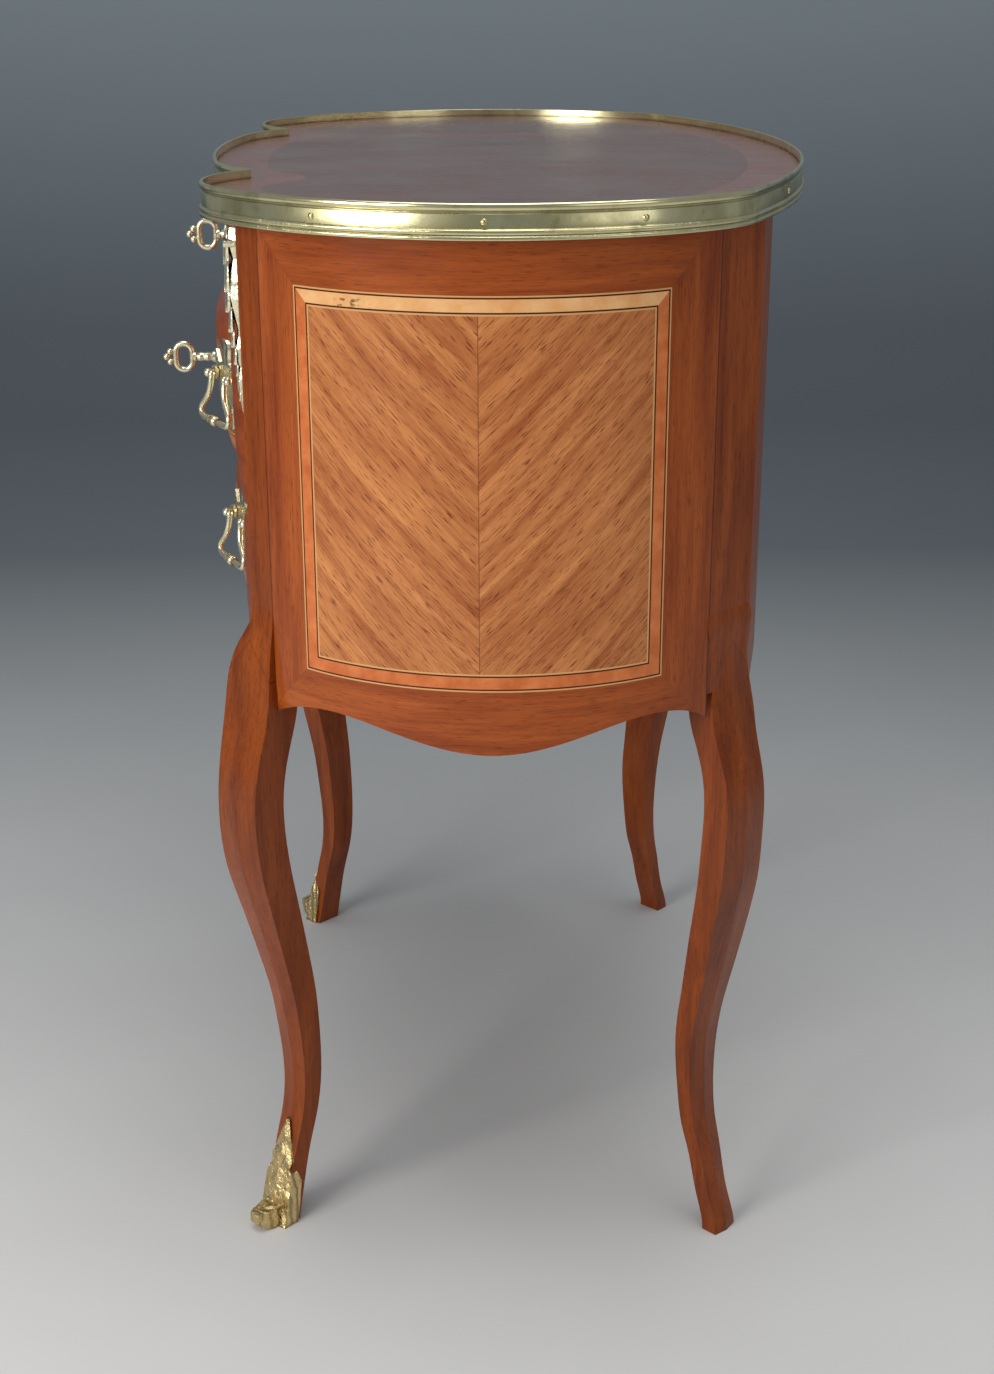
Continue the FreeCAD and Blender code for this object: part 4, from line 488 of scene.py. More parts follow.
def arcs(inset):
    """The arcs of the right half of the top's outline: kind, centre, radius and both angles.

    Each arc keeps its centre when the outline is drawn further in.
    """
    shoulder_start = bearing(MIDDLE_CENTRE, SHOULDER_CENTRE)
    shoulder_end = bearing(SHOULDER_CENTRE, TOP_CUSP)
    cusp_start = bearing(TOP_CUSP, SHOULDER_CENTRE)
    cusp_end = bearing(TOP_CUSP, LOBE_CENTRE)
    lobe_end = bearing(END_CENTRE, LOBE_CENTRE)
    end_end = bearing(END_CENTRE, CORNER_CENTRE)
    back_start = bearing(BACK_CENTRE, CORNER_CENTRE)
    return (("middle", MIDDLE_CENTRE, MIDDLE_RADIUS - inset, -pi / 2, shoulder_start),
            ("shoulder", SHOULDER_CENTRE, SHOULDER_RADIUS - inset, shoulder_start, shoulder_end),
            ("cusp", TOP_CUSP, max(inset, CUSP_LEAST), cusp_start, cusp_end),
            ("lobe", LOBE_CENTRE, LOBE_RADIUS - inset, bearing(LOBE_CENTRE, TOP_CUSP), lobe_end),
            ("end", END_CENTRE, END_RADIUS - inset, lobe_end, end_end),
            ("corner", CORNER_CENTRE, CORNER_RADIUS - inset, end_end, back_start),
            ("back", BACK_CENTRE, BACK_RADIUS - inset, back_start, pi / 2))


def outline(inset):
    """The outline of the top as points (x, y), drawn inset inside the face of its brass edge."""
    half = []
    for kind, centre, radius, first, last in arcs(inset):
        steps = ARC_STEPS[kind]
        for step in range(steps):
            angle = first + (last - first) * step / steps
            half.append((centre[0] + radius * cos(angle), centre[1] + radius * sin(angle)))
    half.append((0.0, BACK_CENTRE[1] + BACK_RADIUS - inset))
    return half + [(-x, y) for x, y in reversed(half[1:-1])]


def ring(inset, z):
    """The outline at a height, in metres and in the frame's place."""
    return [(x * MM, (y + TOP_MIDDLE_Y) * MM, z * MM) for x, y in outline(inset)]


def skin_rings(rings, closed):
    """Quads between rings of points, and back from the last ring to the first when closed."""
    count = len(rings[0])
    faces = []
    for level in range(len(rings) if closed else len(rings) - 1):
        low = level * count
        high = (level + 1) % len(rings) * count
        faces += [(low + i, low + (i + 1) % count, high + (i + 1) % count, high + i) for i in range(count)]
    return faces


BOARD_INSET = 3.3
BOARD_LOW = 729.0
BOARD_HIGH = 744.0
BOARD_EASE = 0.4
BORDER_INSETS = (3.9, 8.0, 14.0, 20.0, 26.0, 32.0, 36.0, 39.0, 41.0)
BORDER_EDGE = 0.040
LEAVES_IN_A_METRE = 7.3

board_rings = [ring(BORDER_INSETS[-1], BOARD_LOW), ring(BOARD_INSET, BOARD_LOW),
               ring(BOARD_INSET, BOARD_HIGH - BOARD_EASE)]
board_rings += [ring(inset, BOARD_HIGH) for inset in BORDER_INSETS]
ring_edges = [BOARD_INSET * MM] * 3 + [inset * MM for inset in BORDER_INSETS]
ring_count = len(board_rings[0])
board_faces = skin_rings(board_rings, False)
board_faces.append(tuple(reversed(range(ring_count))))
board_faces.append(tuple(range((len(board_rings) - 1) * ring_count, len(board_rings) * ring_count)))
half_walk = [0.0]
for here, there in zip(board_rings[1], board_rings[1][1:ring_count // 2 + 1]):
    half_walk.append(half_walk[-1] + hypot(there[0] - here[0], there[1] - here[1]))
walk = half_walk + half_walk[-2:0:-1]

top = Finish("top_veneer", roughness=0.24, Coat_Weight=0.3, Coat_Roughness=0.16, Specular_IOR_Level=0.5)
top_edge = top.attribute("edge")
top_walk = top.attribute("walk")
cross_value, cross_pore = wood_figure(top, top_edge, top_walk, 0.0, 50.0, 320.0)
leaf_number = top.math("FLOOR", top.times(top_walk, LEAVES_IN_A_METRE))
leaf_shade = top.noise(top.vector(leaf_number, 3.7, 0.0), 5.13, 0.0)
border_top = wood_colour(top, cross_value, cross_pore, srgb(96, 52, 40), srgb(128, 76, 60), srgb(60, 28, 20))
border_top = top.mix(top.times(top.spread(leaf_shade, 0.35, 0.65), 0.35), border_top, srgb(136, 80, 64))
leaf_edge = top.math("ABSOLUTE", top.less(top.math("FRACT", top.times(top_walk, LEAVES_IN_A_METRE)), 0.5))
border_top = top.mix(top.times(top.over(leaf_edge, 0.4965, 0.002), 0.5), border_top, srgb(44, 16, 10))
plain_value, plain_pore = wood_figure(top, top.y, top.x, top.math("SIGN", top.x), 30.0, 260.0, 0.35)
burn = top.spread(top.noise(top.vector(top.times(top.y, 0.5), top.x, 0.0), 9.0, 4.0, 0.6, 0.6), 0.4, 0.68)
field_top = wood_colour(top, plain_value, plain_pore, srgb(84, 46, 36), srgb(116, 72, 58), srgb(56, 28, 22))
field_top = top.mix(top.times(burn, 0.35), field_top, srgb(66, 42, 36))
field_top = top.mix(top.times(top.line(top.x, 0.0003), 0.6), field_top, srgb(34, 12, 8))
top_colour = top.mix(top.over(top_edge, BORDER_EDGE), border_top, field_top)
border_joint = top.line(top.less(top_edge, BORDER_EDGE), 0.0005)
top_colour = top.mix(top.times(border_joint, 0.6), top_colour, srgb(40, 16, 10))
top.color(top_colour)
rub(top, plain_value, plain_pore, 0.2, 0.32)

board = mesh_piece("veneered_top", [point for points in board_rings for point in points], board_faces,
                   top.material, False)
edge_value = board.data.attributes.new("edge", "FLOAT", "POINT")
edge_value.data.foreach_set("value", [value for value in ring_edges for _ in range(ring_count)])
walk_value = board.data.attributes.new("walk", "FLOAT", "POINT")
walk_value.data.foreach_set("value", walk * len(board_rings))
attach(board, "carcase")
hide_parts("top_board")

# The brass edge: a drawn moulding bent round the board, with a round rim above, a plain band
# and two beads below. It is bright on its high parts, dull and a little green between them,
# and pitted along the lower bead.
BRASS_BASE_Z = 729.0
BRASS_RELIEF = 2.2
LOW_BEAD_TOP = 0.0062
RIM_FOOT = 0.0164
BRASS_PROFILE = ((1.7, 0.0), (2.05, 0.12), (2.2, 0.5), (2.2, 1.5), (2.05, 2.05), (1.6, 2.4), (1.36, 2.75),
                 (1.6, 3.1), (2.0, 3.5), (2.17, 4.1), (2.2, 4.8), (2.1, 5.4), (1.8, 5.9), (1.2, 6.25),
                 (0.8, 6.5), (0.77, 6.9), (0.77, 14.6), (0.6, 14.95), (0.16, 15.3), (0.1, 15.8), (0.16, 16.2),
                 (0.8, 16.55), (1.3, 17.1), (1.65, 17.8), (1.78, 18.6), (1.65, 19.6), (1.3, 20.35),
                 (0.8, 20.8), (0.2, 21.0), (-0.6, 20.95), (-1.0, 20.6), (-1.0, 0.0))

brass = Finish("edge_brass", roughness=0.24, Metallic=1.0)
brass_up = brass.less(brass.z, BRASS_BASE_Z * MM)
high = brass.math("MAXIMUM", brass.over(brass_up, RIM_FOOT, 0.0006),
                  brass.less(1.0, brass.over(brass_up, LOW_BEAD_TOP, 0.0006)))
tarnish = brass.spread(brass.noise(brass.place, 26.0, 5.0, 0.62, 0.4), 0.38, 0.66)
dull = brass.times(tarnish, brass.spread(high, 0.0, 1.0, 0.85, 0.3))
brass_colour = brass.mix(dull, srgb(234, 224, 176), srgb(164, 154, 108))
green = brass.spread(brass.noise(brass.place, 48.0, 4.0, 0.6), 0.56, 0.74)
brass_colour = brass.mix(brass.times(green, 0.5), brass_colour, srgb(112, 108, 66))
brown = brass.less(1.0, brass.spread(brass.shade_of_hollows(0.003), 0.35, 0.9))
brass_colour = brass.mix(brass.times(brown, 0.75), brass_colour, srgb(72, 54, 28))
brass.color(brass_colour)
pits = brass.spread(brass.noise(brass.place, 900.0, 3.0, 0.6), 0.56, 0.68)
where_pitted = brass.times(brass.less(1.0, brass.over(brass_up, LOW_BEAD_TOP, 0.0004)),
                           brass.spread(brass.noise(brass.place, 22.0, 2.0), 0.42, 0.62))
brass.roughness(brass.add(brass.spread(dull, 0.0, 1.0, 0.16, 0.36), brass.times(where_pitted, 0.12)))
drawn = brass.noise(brass.vector(0.0, 0.0, brass.z), 2400.0, 2.0)
brass.bump(brass.less(brass.times(drawn, 0.15), brass.times(pits, where_pitted)), 0.00012, 0.8)

brass_rings = [ring(BRASS_RELIEF - relief, BRASS_BASE_Z + up) for relief, up in BRASS_PROFILE]
edging = mesh_piece("brass_edge", [point for points in brass_rings for point in points],
                    skin_rings(brass_rings, True), brass.material)
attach(edging, "carcase")
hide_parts("brass_gallery")

# The pins that hold the brass edge: round heads in a row round the band. Points on the band
# carry the way that each pin faces, and one drawn head is set on every point.


def live(sockets, name):
    """The socket of a name that is in use, where a node keeps one for each kind of value."""
    return next(socket for socket in sockets if socket.name == name and socket.enabled)


def scatter(name, source, points, turns, sizes, material, variation, seed):
    """Set a copy of a drawn piece on each point, turned and sized as the point says."""
    cloud_mesh = bpy.data.meshes.new(name + "_points")
    cloud_mesh.from_pydata(points, [], [])
    turn_value = cloud_mesh.attributes.new("turn", "FLOAT_VECTOR", "POINT")
    turn_value.data.foreach_set("vector", [value for turn_of in turns for value in turn_of])
    size_value = cloud_mesh.attributes.new("size", "FLOAT_VECTOR", "POINT")
    size_value.data.foreach_set("vector", [value for size in sizes for value in size])
    cloud = bpy.data.objects.new(name + "_points", cloud_mesh)
    bpy.context.scene.collection.objects.link(cloud)

    tree = bpy.data.node_groups.new(name + "_tree", "GeometryNodeTree")
    tree.interface.new_socket("Geometry", in_out="INPUT", socket_type="NodeSocketGeometry")
    piece_socket = tree.interface.new_socket("Piece", in_out="INPUT", socket_type="NodeSocketObject")
    vary_socket = tree.interface.new_socket("Variation", in_out="INPUT", socket_type="NodeSocketFloat")
    seed_socket = tree.interface.new_socket("Seed", in_out="INPUT", socket_type="NodeSocketInt")
    finish_socket = tree.interface.new_socket("Finish", in_out="INPUT", socket_type="NodeSocketMaterial")
    tree.interface.new_socket("Geometry", in_out="OUTPUT", socket_type="NodeSocketGeometry")
    node = tree.nodes.new
    link = tree.links.new
    start = node("NodeGroupInput")
    end = node("NodeGroupOutput")
    drawn_piece = node("GeometryNodeObjectInfo")
    place = node("GeometryNodeInstanceOnPoints")
    turn_of_point = node("GeometryNodeInputNamedAttribute")
    turn_of_point.data_type = "FLOAT_VECTOR"
    turn_of_point.inputs["Name"].default_value = "turn"
    size_of_point = node("GeometryNodeInputNamedAttribute")
    size_of_point.data_type = "FLOAT_VECTOR"
    size_of_point.inputs["Name"].default_value = "size"
    to_turn = node("FunctionNodeEulerToRotation")
    wobble = node("FunctionNodeRandomValue")
    wobble.data_type = "FLOAT"
    low = node("ShaderNodeMath")
    low.operation = "SUBTRACT"
    low.inputs[0].default_value = 1.0
    vary_size = node("ShaderNodeVectorMath")
    vary_size.operation = "SCALE"
    real = node("GeometryNodeRealizeInstances")
    paint = node("GeometryNodeSetMaterial")
    link(start.outputs["Geometry"], place.inputs["Points"])
    link(start.outputs["Piece"], drawn_piece.inputs["Object"])
    link(drawn_piece.outputs["Geometry"], place.inputs["Instance"])
    link(live(turn_of_point.outputs, "Attribute"), to_turn.inputs[0])
    link(to_turn.outputs[0], place.inputs["Rotation"])
    link(start.outputs["Variation"], low.inputs[1])
    link(low.outputs[0], live(wobble.inputs, "Min"))
    live(wobble.inputs, "Max").default_value = 1.0
    link(start.outputs["Seed"], wobble.inputs["Seed"])
    link(live(size_of_point.outputs, "Attribute"), vary_size.inputs[0])
    link(live(wobble.outputs, "Value"), vary_size.inputs["Scale"])
    link(vary_size.outputs[0], place.inputs["Scale"])
    link(place.outputs["Instances"], real.inputs["Geometry"])
    link(real.outputs["Geometry"], paint.inputs["Geometry"])
    link(start.outputs["Finish"], paint.inputs["Material"])
    link(paint.outputs["Geometry"], end.inputs["Geometry"])

    modifier = cloud.modifiers.new(name, "NODES")
    modifier.node_group = tree
    modifier[piece_socket.identifier] = source
    modifier[vary_socket.identifier] = variation
    modifier[seed_socket.identifier] = seed
    modifier[finish_socket.identifier] = material
    bpy.context.view_layer.update()
    graph = bpy.context.evaluated_depsgraph_get()
    mesh = bpy.data.meshes.new_from_object(cloud.evaluated_get(graph), depsgraph=graph)
    mesh.name = name
    mesh.polygons.foreach_set("use_smooth", [True] * len(mesh.polygons))
    if not mesh.materials:
        mesh.materials.append(material)
    piece = bpy.data.objects.new(name, mesh)
    bpy.context.scene.collection.objects.link(piece)
    bpy.data.objects.remove(cloud)
    bpy.data.objects.remove(source)
    return piece


def revolved(name, profile, material, around=24):
    """A turned shape about Z from a profile of (radius, height), closed at both ends."""
    verts = [(radius * cos(2 * pi * i / around), radius * sin(2 * pi * i / around), height)
             for radius, height in profile for i in range(around)]
    faces = []
    for level in range(len(profile) - 1):
        low_row, high_row = level * around, (level + 1) * around
        faces += [(low_row + i, low_row + (i + 1) % around, high_row + (i + 1) % around, high_row + i)
                  for i in range(around)]
    faces.append(tuple(reversed(range(around))))
    faces.append(tuple(range((len(profile) - 1) * around, len(profile) * around)))
    return mesh_piece(name, verts, faces, material)


pin_brass = Finish("pin_brass", roughness=0.22, Metallic=1.0)
pin_cloud = pin_brass.spread(pin_brass.noise(pin_brass.place, 400.0, 3.0), 0.4, 0.7)
pin_brass.color(pin_brass.mix(pin_cloud, srgb(238, 222, 170), srgb(176, 156, 100)))
pin_brass.bump(pin_cloud, 0.00004, 0.5)

PIN_PLACES = (("middle", 0.36), ("lobe", 0.32), ("end", 0.25), ("end", 0.56), ("end", 0.84), ("back", 0.28),
              ("back", 1.0))
PIN_Z = 739.5
PIN_INSET = 1.43
PIN_VARIATION = 0.04
PIN_SEED = 5
PIN_PROFILE = ((0.8, -10.0), (0.8, -0.1), (2.0, -0.1), (2.1, 0.05), (1.98, 0.35), (1.7, 0.75), (1.25, 1.08),
               (0.7, 1.28), (0.15, 1.35))

pin_points = []
pin_turns = []
for kind, centre, radius, first, last in arcs(PIN_INSET):
    for wanted, share in PIN_PLACES:
        if kind != wanted:
            continue
        angle = first + (last - first) * share
        x = centre[0] + radius * cos(angle)
        y = centre[1] + radius * sin(angle) + TOP_MIDDLE_Y
        for way in (1, -1) if x > 1.0 else (1,):
            facing = angle if way == 1 else pi - angle
            pin_points.append((way * x * MM, y * MM, PIN_Z * MM))
            pin_turns.append((0.0, pi / 2, facing))
pin_profile = [(radius * MM, height * MM) for radius, height in PIN_PROFILE]
pin_head = revolved("pin_head", pin_profile, pin_brass.material)
pin_sizes = [(1.0, 1.0, 1.0)] * len(pin_points)
pins = scatter("brass_edge_pins", pin_head, pin_points, pin_turns, pin_sizes, pin_brass.material,
               PIN_VARIATION, PIN_SEED)
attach(pins, "carcase")
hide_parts("gallery_pins")

# The iron screws that hold the top board from below, through the rails: grey, and brown with
# rust in patches.
iron = Finish("iron_screws", roughness=0.45, Metallic=1.0)
rust = iron.spread(iron.noise(iron.place, 300.0, 4.0), 0.4, 0.7)
iron.color(iron.mix(rust, srgb(104, 98, 90), srgb(78, 48, 30)))
iron.roughness(iron.spread(rust, 0.0, 1.0, 0.35, 0.75))
iron.bump(rust, 0.00008, 0.6)
dress(iron.material, "top_screws")

# The three drawers. Each front is veneered in diagonal leaves, matched in the middle, inside the
# band of strings that the sides have, and a plain border. Its edges, its inside and the rest of
# the drawer are plain oak, paler for being kept from the light.
FRONT_END_BORDER = 0.03
FRONT_FIELDS = {"frieze_drawer": (0.676, 0.705), "middle_drawer": (0.552, 0.614),
                "lower_drawer": (0.446, 0.518)}
NEW_OAK = {"shades": (srgb(150, 108, 62), srgb(204, 162, 106), srgb(100, 68, 36)),
           "ray": srgb(222, 188, 136), "grime": srgb(96, 74, 48), "grime_share": 0.25, "rough": (0.74, 0.55)}
FRONT_FACING = -0.15


def drawer_finish(drawer):
    """The veneer and the oak of one drawer front, laid out from the front's own size."""
    low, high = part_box(drawer + "_front")
    finish = Finish(drawer + "_veneer", roughness=0.3, **GLOSS)
    field_low, field_high = FRONT_FIELDS[drawer]
    past_end = finish.less(finish.math("ABSOLUTE", finish.x), high[0] - FRONT_END_BORDER)
    past_edge = finish.less(finish.math("ABSOLUTE", finish.less(finish.z, (field_low + field_high) / 2)),
                            (field_high - field_low) / 2)
    inward = finish.times(finish.math("MAXIMUM", past_end, past_edge), -1.0)
    from_middle = finish.math("ABSOLUTE", finish.x)
    across = finish.times(finish.add(finish.z, from_middle), sqrt(0.5))
    along = finish.times(finish.less(finish.z, from_middle), sqrt(0.5))
    deep = finish.times(finish.math("SIGN", finish.x), 0.03)
    value, pore = wood_figure(finish, along, across, deep, 75.0, 420.0, 0.55)
    field_leaf = wood_colour(finish, value, pore, srgb(158, 74, 26), srgb(212, 126, 56), srgb(92, 36, 10))
    field_leaf = finish.mix(finish.times(finish.line(finish.x, 0.0003), 0.6), field_leaf, srgb(88, 36, 12))
    edge_value, edge_pore = wood_figure(finish, finish.x, finish.z, finish.y, 60.0)
    edge_leaf = wood_colour(finish, edge_value, edge_pore,
                            srgb(124, 48, 14), srgb(170, 82, 30), srgb(66, 24, 8))
    front_cloud = finish.spread(finish.noise(finish.place, 70.0, 4.0), 0.3, 0.7)
    front_band = finish.mix(front_cloud, srgb(186, 96, 46), srgb(212, 128, 70))
    shown = edge_leaf
    leaves = (PALE_STRING, DARK_STRING, front_band, DARK_STRING, PALE_STRING, field_leaf)
    for edge, leaf_colour in zip(STRINGS, leaves):
        shown = finish.mix(finish.over(inward, edge), shown, leaf_colour)
    oak_value, oak_pore = wood_figure(finish, finish.x, finish.z, finish.y, *OAK_FIGURE)
    plain = wood_colour(finish, oak_value, oak_pore, *NEW_OAK["shades"])
    facing = finish.tree.nodes.new("ShaderNodeSeparateXYZ")
    finish.tree.links.new(finish.normal, facing.inputs[0])
    outside = finish.less(1.0, finish.over(facing.outputs[1], FRONT_FACING, 0.02))
    finish.color(finish.mix(outside, plain, shown))
    finish.roughness(finish.spread(outside, 0.0, 1.0, 0.65, 0.28))
    finish.feed(finish.shader.inputs["Coat Weight"], finish.times(outside, GLOSS["Coat_Weight"]))
    finish.bump(finish.less(finish.times(value, 0.25), finish.mix(outside, oak_pore, pore)), 0.00008, 0.6)
    return finish.material


drawer_side_oak = oak_finish("drawer_side_oak", "yzx", NEW_OAK)
drawer_back_oak = oak_finish("drawer_back_oak", "xzy", NEW_OAK)
drawer_bottom_oak = oak_finish("drawer_bottom_oak", "xyz", NEW_OAK)
for drawer in ("frieze_drawer", "middle_drawer", "lower_drawer"):
    dress(drawer_finish(drawer), drawer + "_front")
    dress(drawer_side_oak, drawer + "_left_side", drawer + "_right_side")
    dress(drawer_back_oak, drawer + "_back")
    dress(drawer_bottom_oak, drawer + "_bottom")

# The locks of the two upper drawers: a brass case behind the front, with an iron bolt, and a
# pale gilt key whose bow, collars and bit are bright on their edges.
lock_brass = Finish("lock_brass", roughness=0.38, Metallic=1.0)
lock_dull = lock_brass.spread(lock_brass.noise(lock_brass.place, 90.0, 4.0), 0.35, 0.7)
lock_brass.color(lock_brass.mix(lock_dull, srgb(196, 170, 104), srgb(122, 98, 52)))
lock_brass.roughness(lock_brass.spread(lock_dull, 0.0, 1.0, 0.3, 0.5))
lock_brass.bump(lock_brass.noise(lock_brass.place, 1200.0, 2.0), 0.00005, 0.5)
dress(lock_brass.material, "frieze_lock", "middle_lock")
bolt_iron = Finish("bolt_iron", roughness=0.36, Metallic=1.0)
bolt_drawn = bolt_iron.vector(bolt_iron.x, bolt_iron.y, bolt_iron.times(bolt_iron.z, 0.1))
bolt_worn = bolt_iron.spread(bolt_iron.noise(bolt_drawn, 600.0, 3.0), 0.4, 0.7)
bolt_iron.color(bolt_iron.mix(bolt_worn, srgb(150, 146, 138), srgb(92, 84, 74)))
bolt_iron.bump(bolt_worn, 0.00005, 0.5)
dress(bolt_iron.material, "frieze_bolt", "middle_bolt")


def gilding(name, bright, hollow, reach, rough=0.22):
    """Fire-gilt bronze: bright on its high parts, brown in its hollows, and a little cloudy."""
    finish = Finish(name, roughness=rough, Metallic=1.0)
    open_part = finish.spread(finish.shade_of_hollows(reach), 0.35, 0.92)
    cloud = finish.spread(finish.noise(finish.place, 170.0, 4.0, 0.6), 0.4, 0.7)
    shown = finish.mix(open_part, hollow, bright)
    shown = finish.mix(finish.times(cloud, 0.3), shown, srgb(184, 162, 106))
    finish.color(shown)
    finish.roughness(finish.spread(cloud, 0.0, 1.0, rough, rough + 0.16))
    return finish, cloud


key_gilt, key_cloud = gilding("key_gilt", srgb(248, 240, 208), srgb(138, 116, 72), 0.0012, 0.2)
key_gilt.bump(key_cloud, 0.00005, 0.5)
dress(key_gilt.material, "frieze_key", "middle_key")

# The mounts of the drawer fronts: pierced escutcheons and the backplates of the handles, cast
# with ribs that spread from the middle like a shell and with a raised edge, and the bails that
# hang from them.
HANDLE_X = 0.121
HANDLE_PLACES = (("middle", 0.6, 27.8), ("lower", 0.4985, 24.8))
HANDLE_REACH = 0.032
KEYHOLES = (("frieze", 0.6875), ("middle", 0.5965))
KEYHOLE_REACH = 0.02
RIBS = 22.0


def shell_finish(name, middle_x, middle_z, turned, reach):
    """A plate's gilding, chased in ribs round the plate's own middle."""
    finish, cloud = gilding(name, srgb(248, 238, 202), srgb(112, 86, 46), 0.002)
    across = finish.times(finish.less(finish.x, middle_x), 1.0 / cos(radians(turned)))
    up = finish.less(finish.z, middle_z)
    round_it = finish.math("ARCTAN2", across, up)
    away = finish.math("SQRT", finish.add(finish.times(across, across), finish.times(up, up)))
    unevenness = finish.times(finish.noise(finish.place, 90.0, 2.0), 5.0)
    wave = finish.math("SINE", finish.add(finish.times(round_it, RIBS), unevenness))
    ribbed = finish.times(finish.spread(wave, -1.0, 1.0), finish.spread(away, reach * 0.3, reach * 0.6))
    beads = finish.math("SINE", finish.times(away, 2 * pi / (reach * 0.32)))
    pattern = finish.add(finish.times(ribbed, 0.7), finish.times(finish.spread(beads, -1.0, 1.0), 0.4))
    finish.bump(finish.add(pattern, finish.times(cloud, 0.1)), 0.0007, 0.8)
    return finish.material


for drawer, key_z in KEYHOLES:
    dress(shell_finish(drawer + "_escutcheon_gilt", 0.0, key_z, 0.0, KEYHOLE_REACH), drawer + "_escutcheon")
bail_gilt, bail_cloud = gilding("bail_gilt", srgb(246, 238, 204), srgb(130, 108, 66), 0.002)
bail_gilt.bump(bail_cloud, 0.00008, 0.5)
nut_brass, nut_cloud = gilding("nut_brass", srgb(206, 176, 108), srgb(96, 70, 34), 0.002, 0.34)
nut_brass.bump(nut_cloud, 0.00006, 0.5)
for drawer, handle_z, turned in HANDLE_PLACES:
    for hand, way in (("right", 1), ("left", -1)):
        handle = hand + "_" + drawer
        dress(shell_finish(handle + "_plate_gilt", way * HANDLE_X, handle_z, turned, HANDLE_REACH),
              handle + "_handle_plate")
        dress(bail_gilt.material, handle + "_bail")
    dress(nut_brass.material, drawer + "_handle_nuts")

# The chutes on the front stiles and the sabots on the front feet. Over the body of each chute
# lie leaves that hang one below another, long at the top and no more than buds at the end.
CHUTE_X = 0.2372
CHUTE_FACE_Y = -0.1491
CHUTE_TOP_Z = 0.728
PAIR_SPREAD = 0.0006
LEAF_ROWS = 14
LEAF_COLUMNS = 8
LEAF_HALF_WIDTH = 0.18
LEAF_BLUNTNESS = 0.12
SCALLOP_DEPTH = 0.12
SCALLOP_RATE = 26.0
LEAF_THICKNESS = 0.05
LEAF_BELLY = 0.12
TIP_CURL = 0.10
MIDRIB = 0.05
SIDE_VEINS = 0.025
EDGE_FALL = 0.55
LEAF_FLATNESS = 0.62
LEAF_VARIATION = 0.06
LEAF_SEED = 3
# Each leaf: its drop from the chute's top, its side, its lean in degrees, its length, its relief.
LEAVES = ((0.004, 0.0, 0.0, 0.024, 5.2), (0.020, -1.0, 9.0, 0.021, 5.6), (0.024, 1.0, 9.0, 0.021, 5.4),
          (0.036, 0.0, 0.0, 0.022, 5.6), (0.050, -1.0, 8.0, 0.018, 4.6), (0.053, 1.0, 8.0, 0.018, 4.6),
          (0.064, 0.0, 0.0, 0.017, 4.0), (0.076, -1.0, 8.0, 0.013, 3.2), (0.078, 1.0, 8.0, 0.013, 3.2),
          (0.087, 0.0, 0.0, 0.012, 2.6), (0.097, 0.0, 0.0, 0.010, 2.2), (0.106, 0.0, 0.0, 0.009, 1.8))

chute_gilt, chute_cloud = gilding("chute_gilt", srgb(252, 244, 212), srgb(84, 62, 32), 0.0025)
chute_gilt.bump(chute_gilt.add(chute_cloud, chute_gilt.noise(chute_gilt.place, 500.0, 3.0)), 0.0003, 0.7)
sabot_gilt, sabot_cloud = gilding("sabot_gilt", srgb(222, 196, 140), srgb(84, 62, 30), 0.004)
sabot_ribs = sabot_gilt.math("SINE", sabot_gilt.add(
    sabot_gilt.times(sabot_gilt.less(sabot_gilt.math("ABSOLUTE", sabot_gilt.x), sabot_gilt.y), 700.0),
    sabot_gilt.times(sabot_gilt.noise(sabot_gilt.place, 60.0, 2.0), 9.0)))
sabot_gilt.bump(sabot_gilt.add(sabot_cloud, sabot_gilt.times(sabot_ribs, 0.8)), 0.0012, 0.8)
dress(chute_gilt.material, "right_chute", "left_chute")
dress(sabot_gilt.material, "right_sabot", "left_sabot")


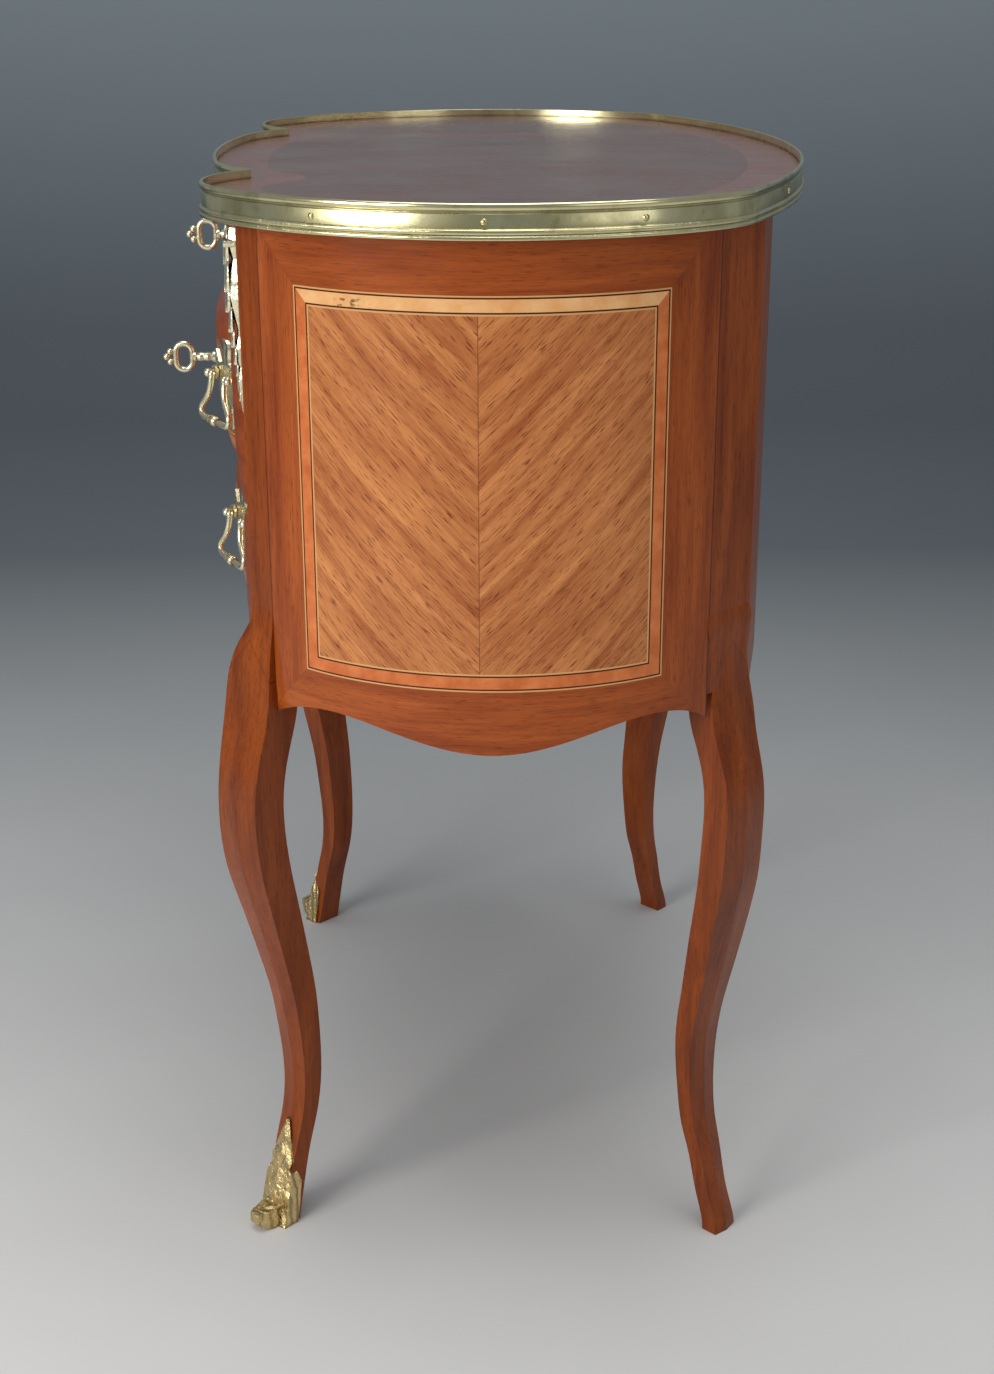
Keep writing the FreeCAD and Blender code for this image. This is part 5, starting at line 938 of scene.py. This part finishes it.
def drawn_leaf():
    """One cast leaf, a unit long and hanging down, ribbed, scalloped and curled out at its tip."""
    verts = []
    for depth in (0, 1):
        for row in range(LEAF_ROWS + 1):
            share = row / LEAF_ROWS
            scallop = 1.0 + SCALLOP_DEPTH * cos(share * SCALLOP_RATE)
            half_width = LEAF_HALF_WIDTH * (LEAF_BLUNTNESS + sin(pi * share ** 0.8) ** 0.8) * scallop
            curl = LEAF_THICKNESS + LEAF_BELLY * sin(pi * share * 0.9) + TIP_CURL * share ** 4
            for column in range(LEAF_COLUMNS + 1):
                side_share = 2 * column / LEAF_COLUMNS - 1
                rib = MIDRIB * (1 - abs(side_share)) + SIDE_VEINS * cos(side_share * 3 * pi)
                height = (curl + rib) * (1 - EDGE_FALL * side_share ** 2) if depth == 0 else 0.0
                verts.append((half_width * side_share, -height, -share))
    faces = []
    width = LEAF_COLUMNS + 1
    back_start = (LEAF_ROWS + 1) * width
    for row in range(LEAF_ROWS):
        for column in range(LEAF_COLUMNS):
            at = row * width + column
            behind = back_start + at
            faces.append((at, at + width, at + width + 1, at + 1))
            faces.append((behind, behind + 1, behind + width + 1, behind + width))
        left, right = row * width, row * width + LEAF_COLUMNS
        faces.append((left, back_start + left, back_start + left + width, left + width))
        faces.append((right, right + width, back_start + right + width, back_start + right))
    for column in range(LEAF_COLUMNS):
        end = LEAF_ROWS * width + column
        faces.append((column, column + 1, back_start + column + 1, back_start + column))
        faces.append((end, back_start + end, back_start + end + 1, end + 1))
    return mesh_piece("drawn_leaf", verts, faces, chute_gilt.material)


for hand, way in (("right", 1), ("left", -1)):
    leaf_points = []
    leaf_turns = []
    leaf_sizes = []
    for drop, sideways, lean, size, relief in LEAVES:
        leaf_points.append((way * CHUTE_X + sideways * PAIR_SPREAD, CHUTE_FACE_Y - relief * MM,
                            CHUTE_TOP_Z - drop))
        leaf_turns.append((0.0, -sideways * radians(lean), 0.0))
        leaf_sizes.append((size, size * LEAF_FLATNESS, size))
    leaves = scatter(hand + "_chute_leaves", drawn_leaf(), leaf_points, leaf_turns, leaf_sizes,
                     chute_gilt.material, LEAF_VARIATION, LEAF_SEED)
    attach(leaves, "carcase")
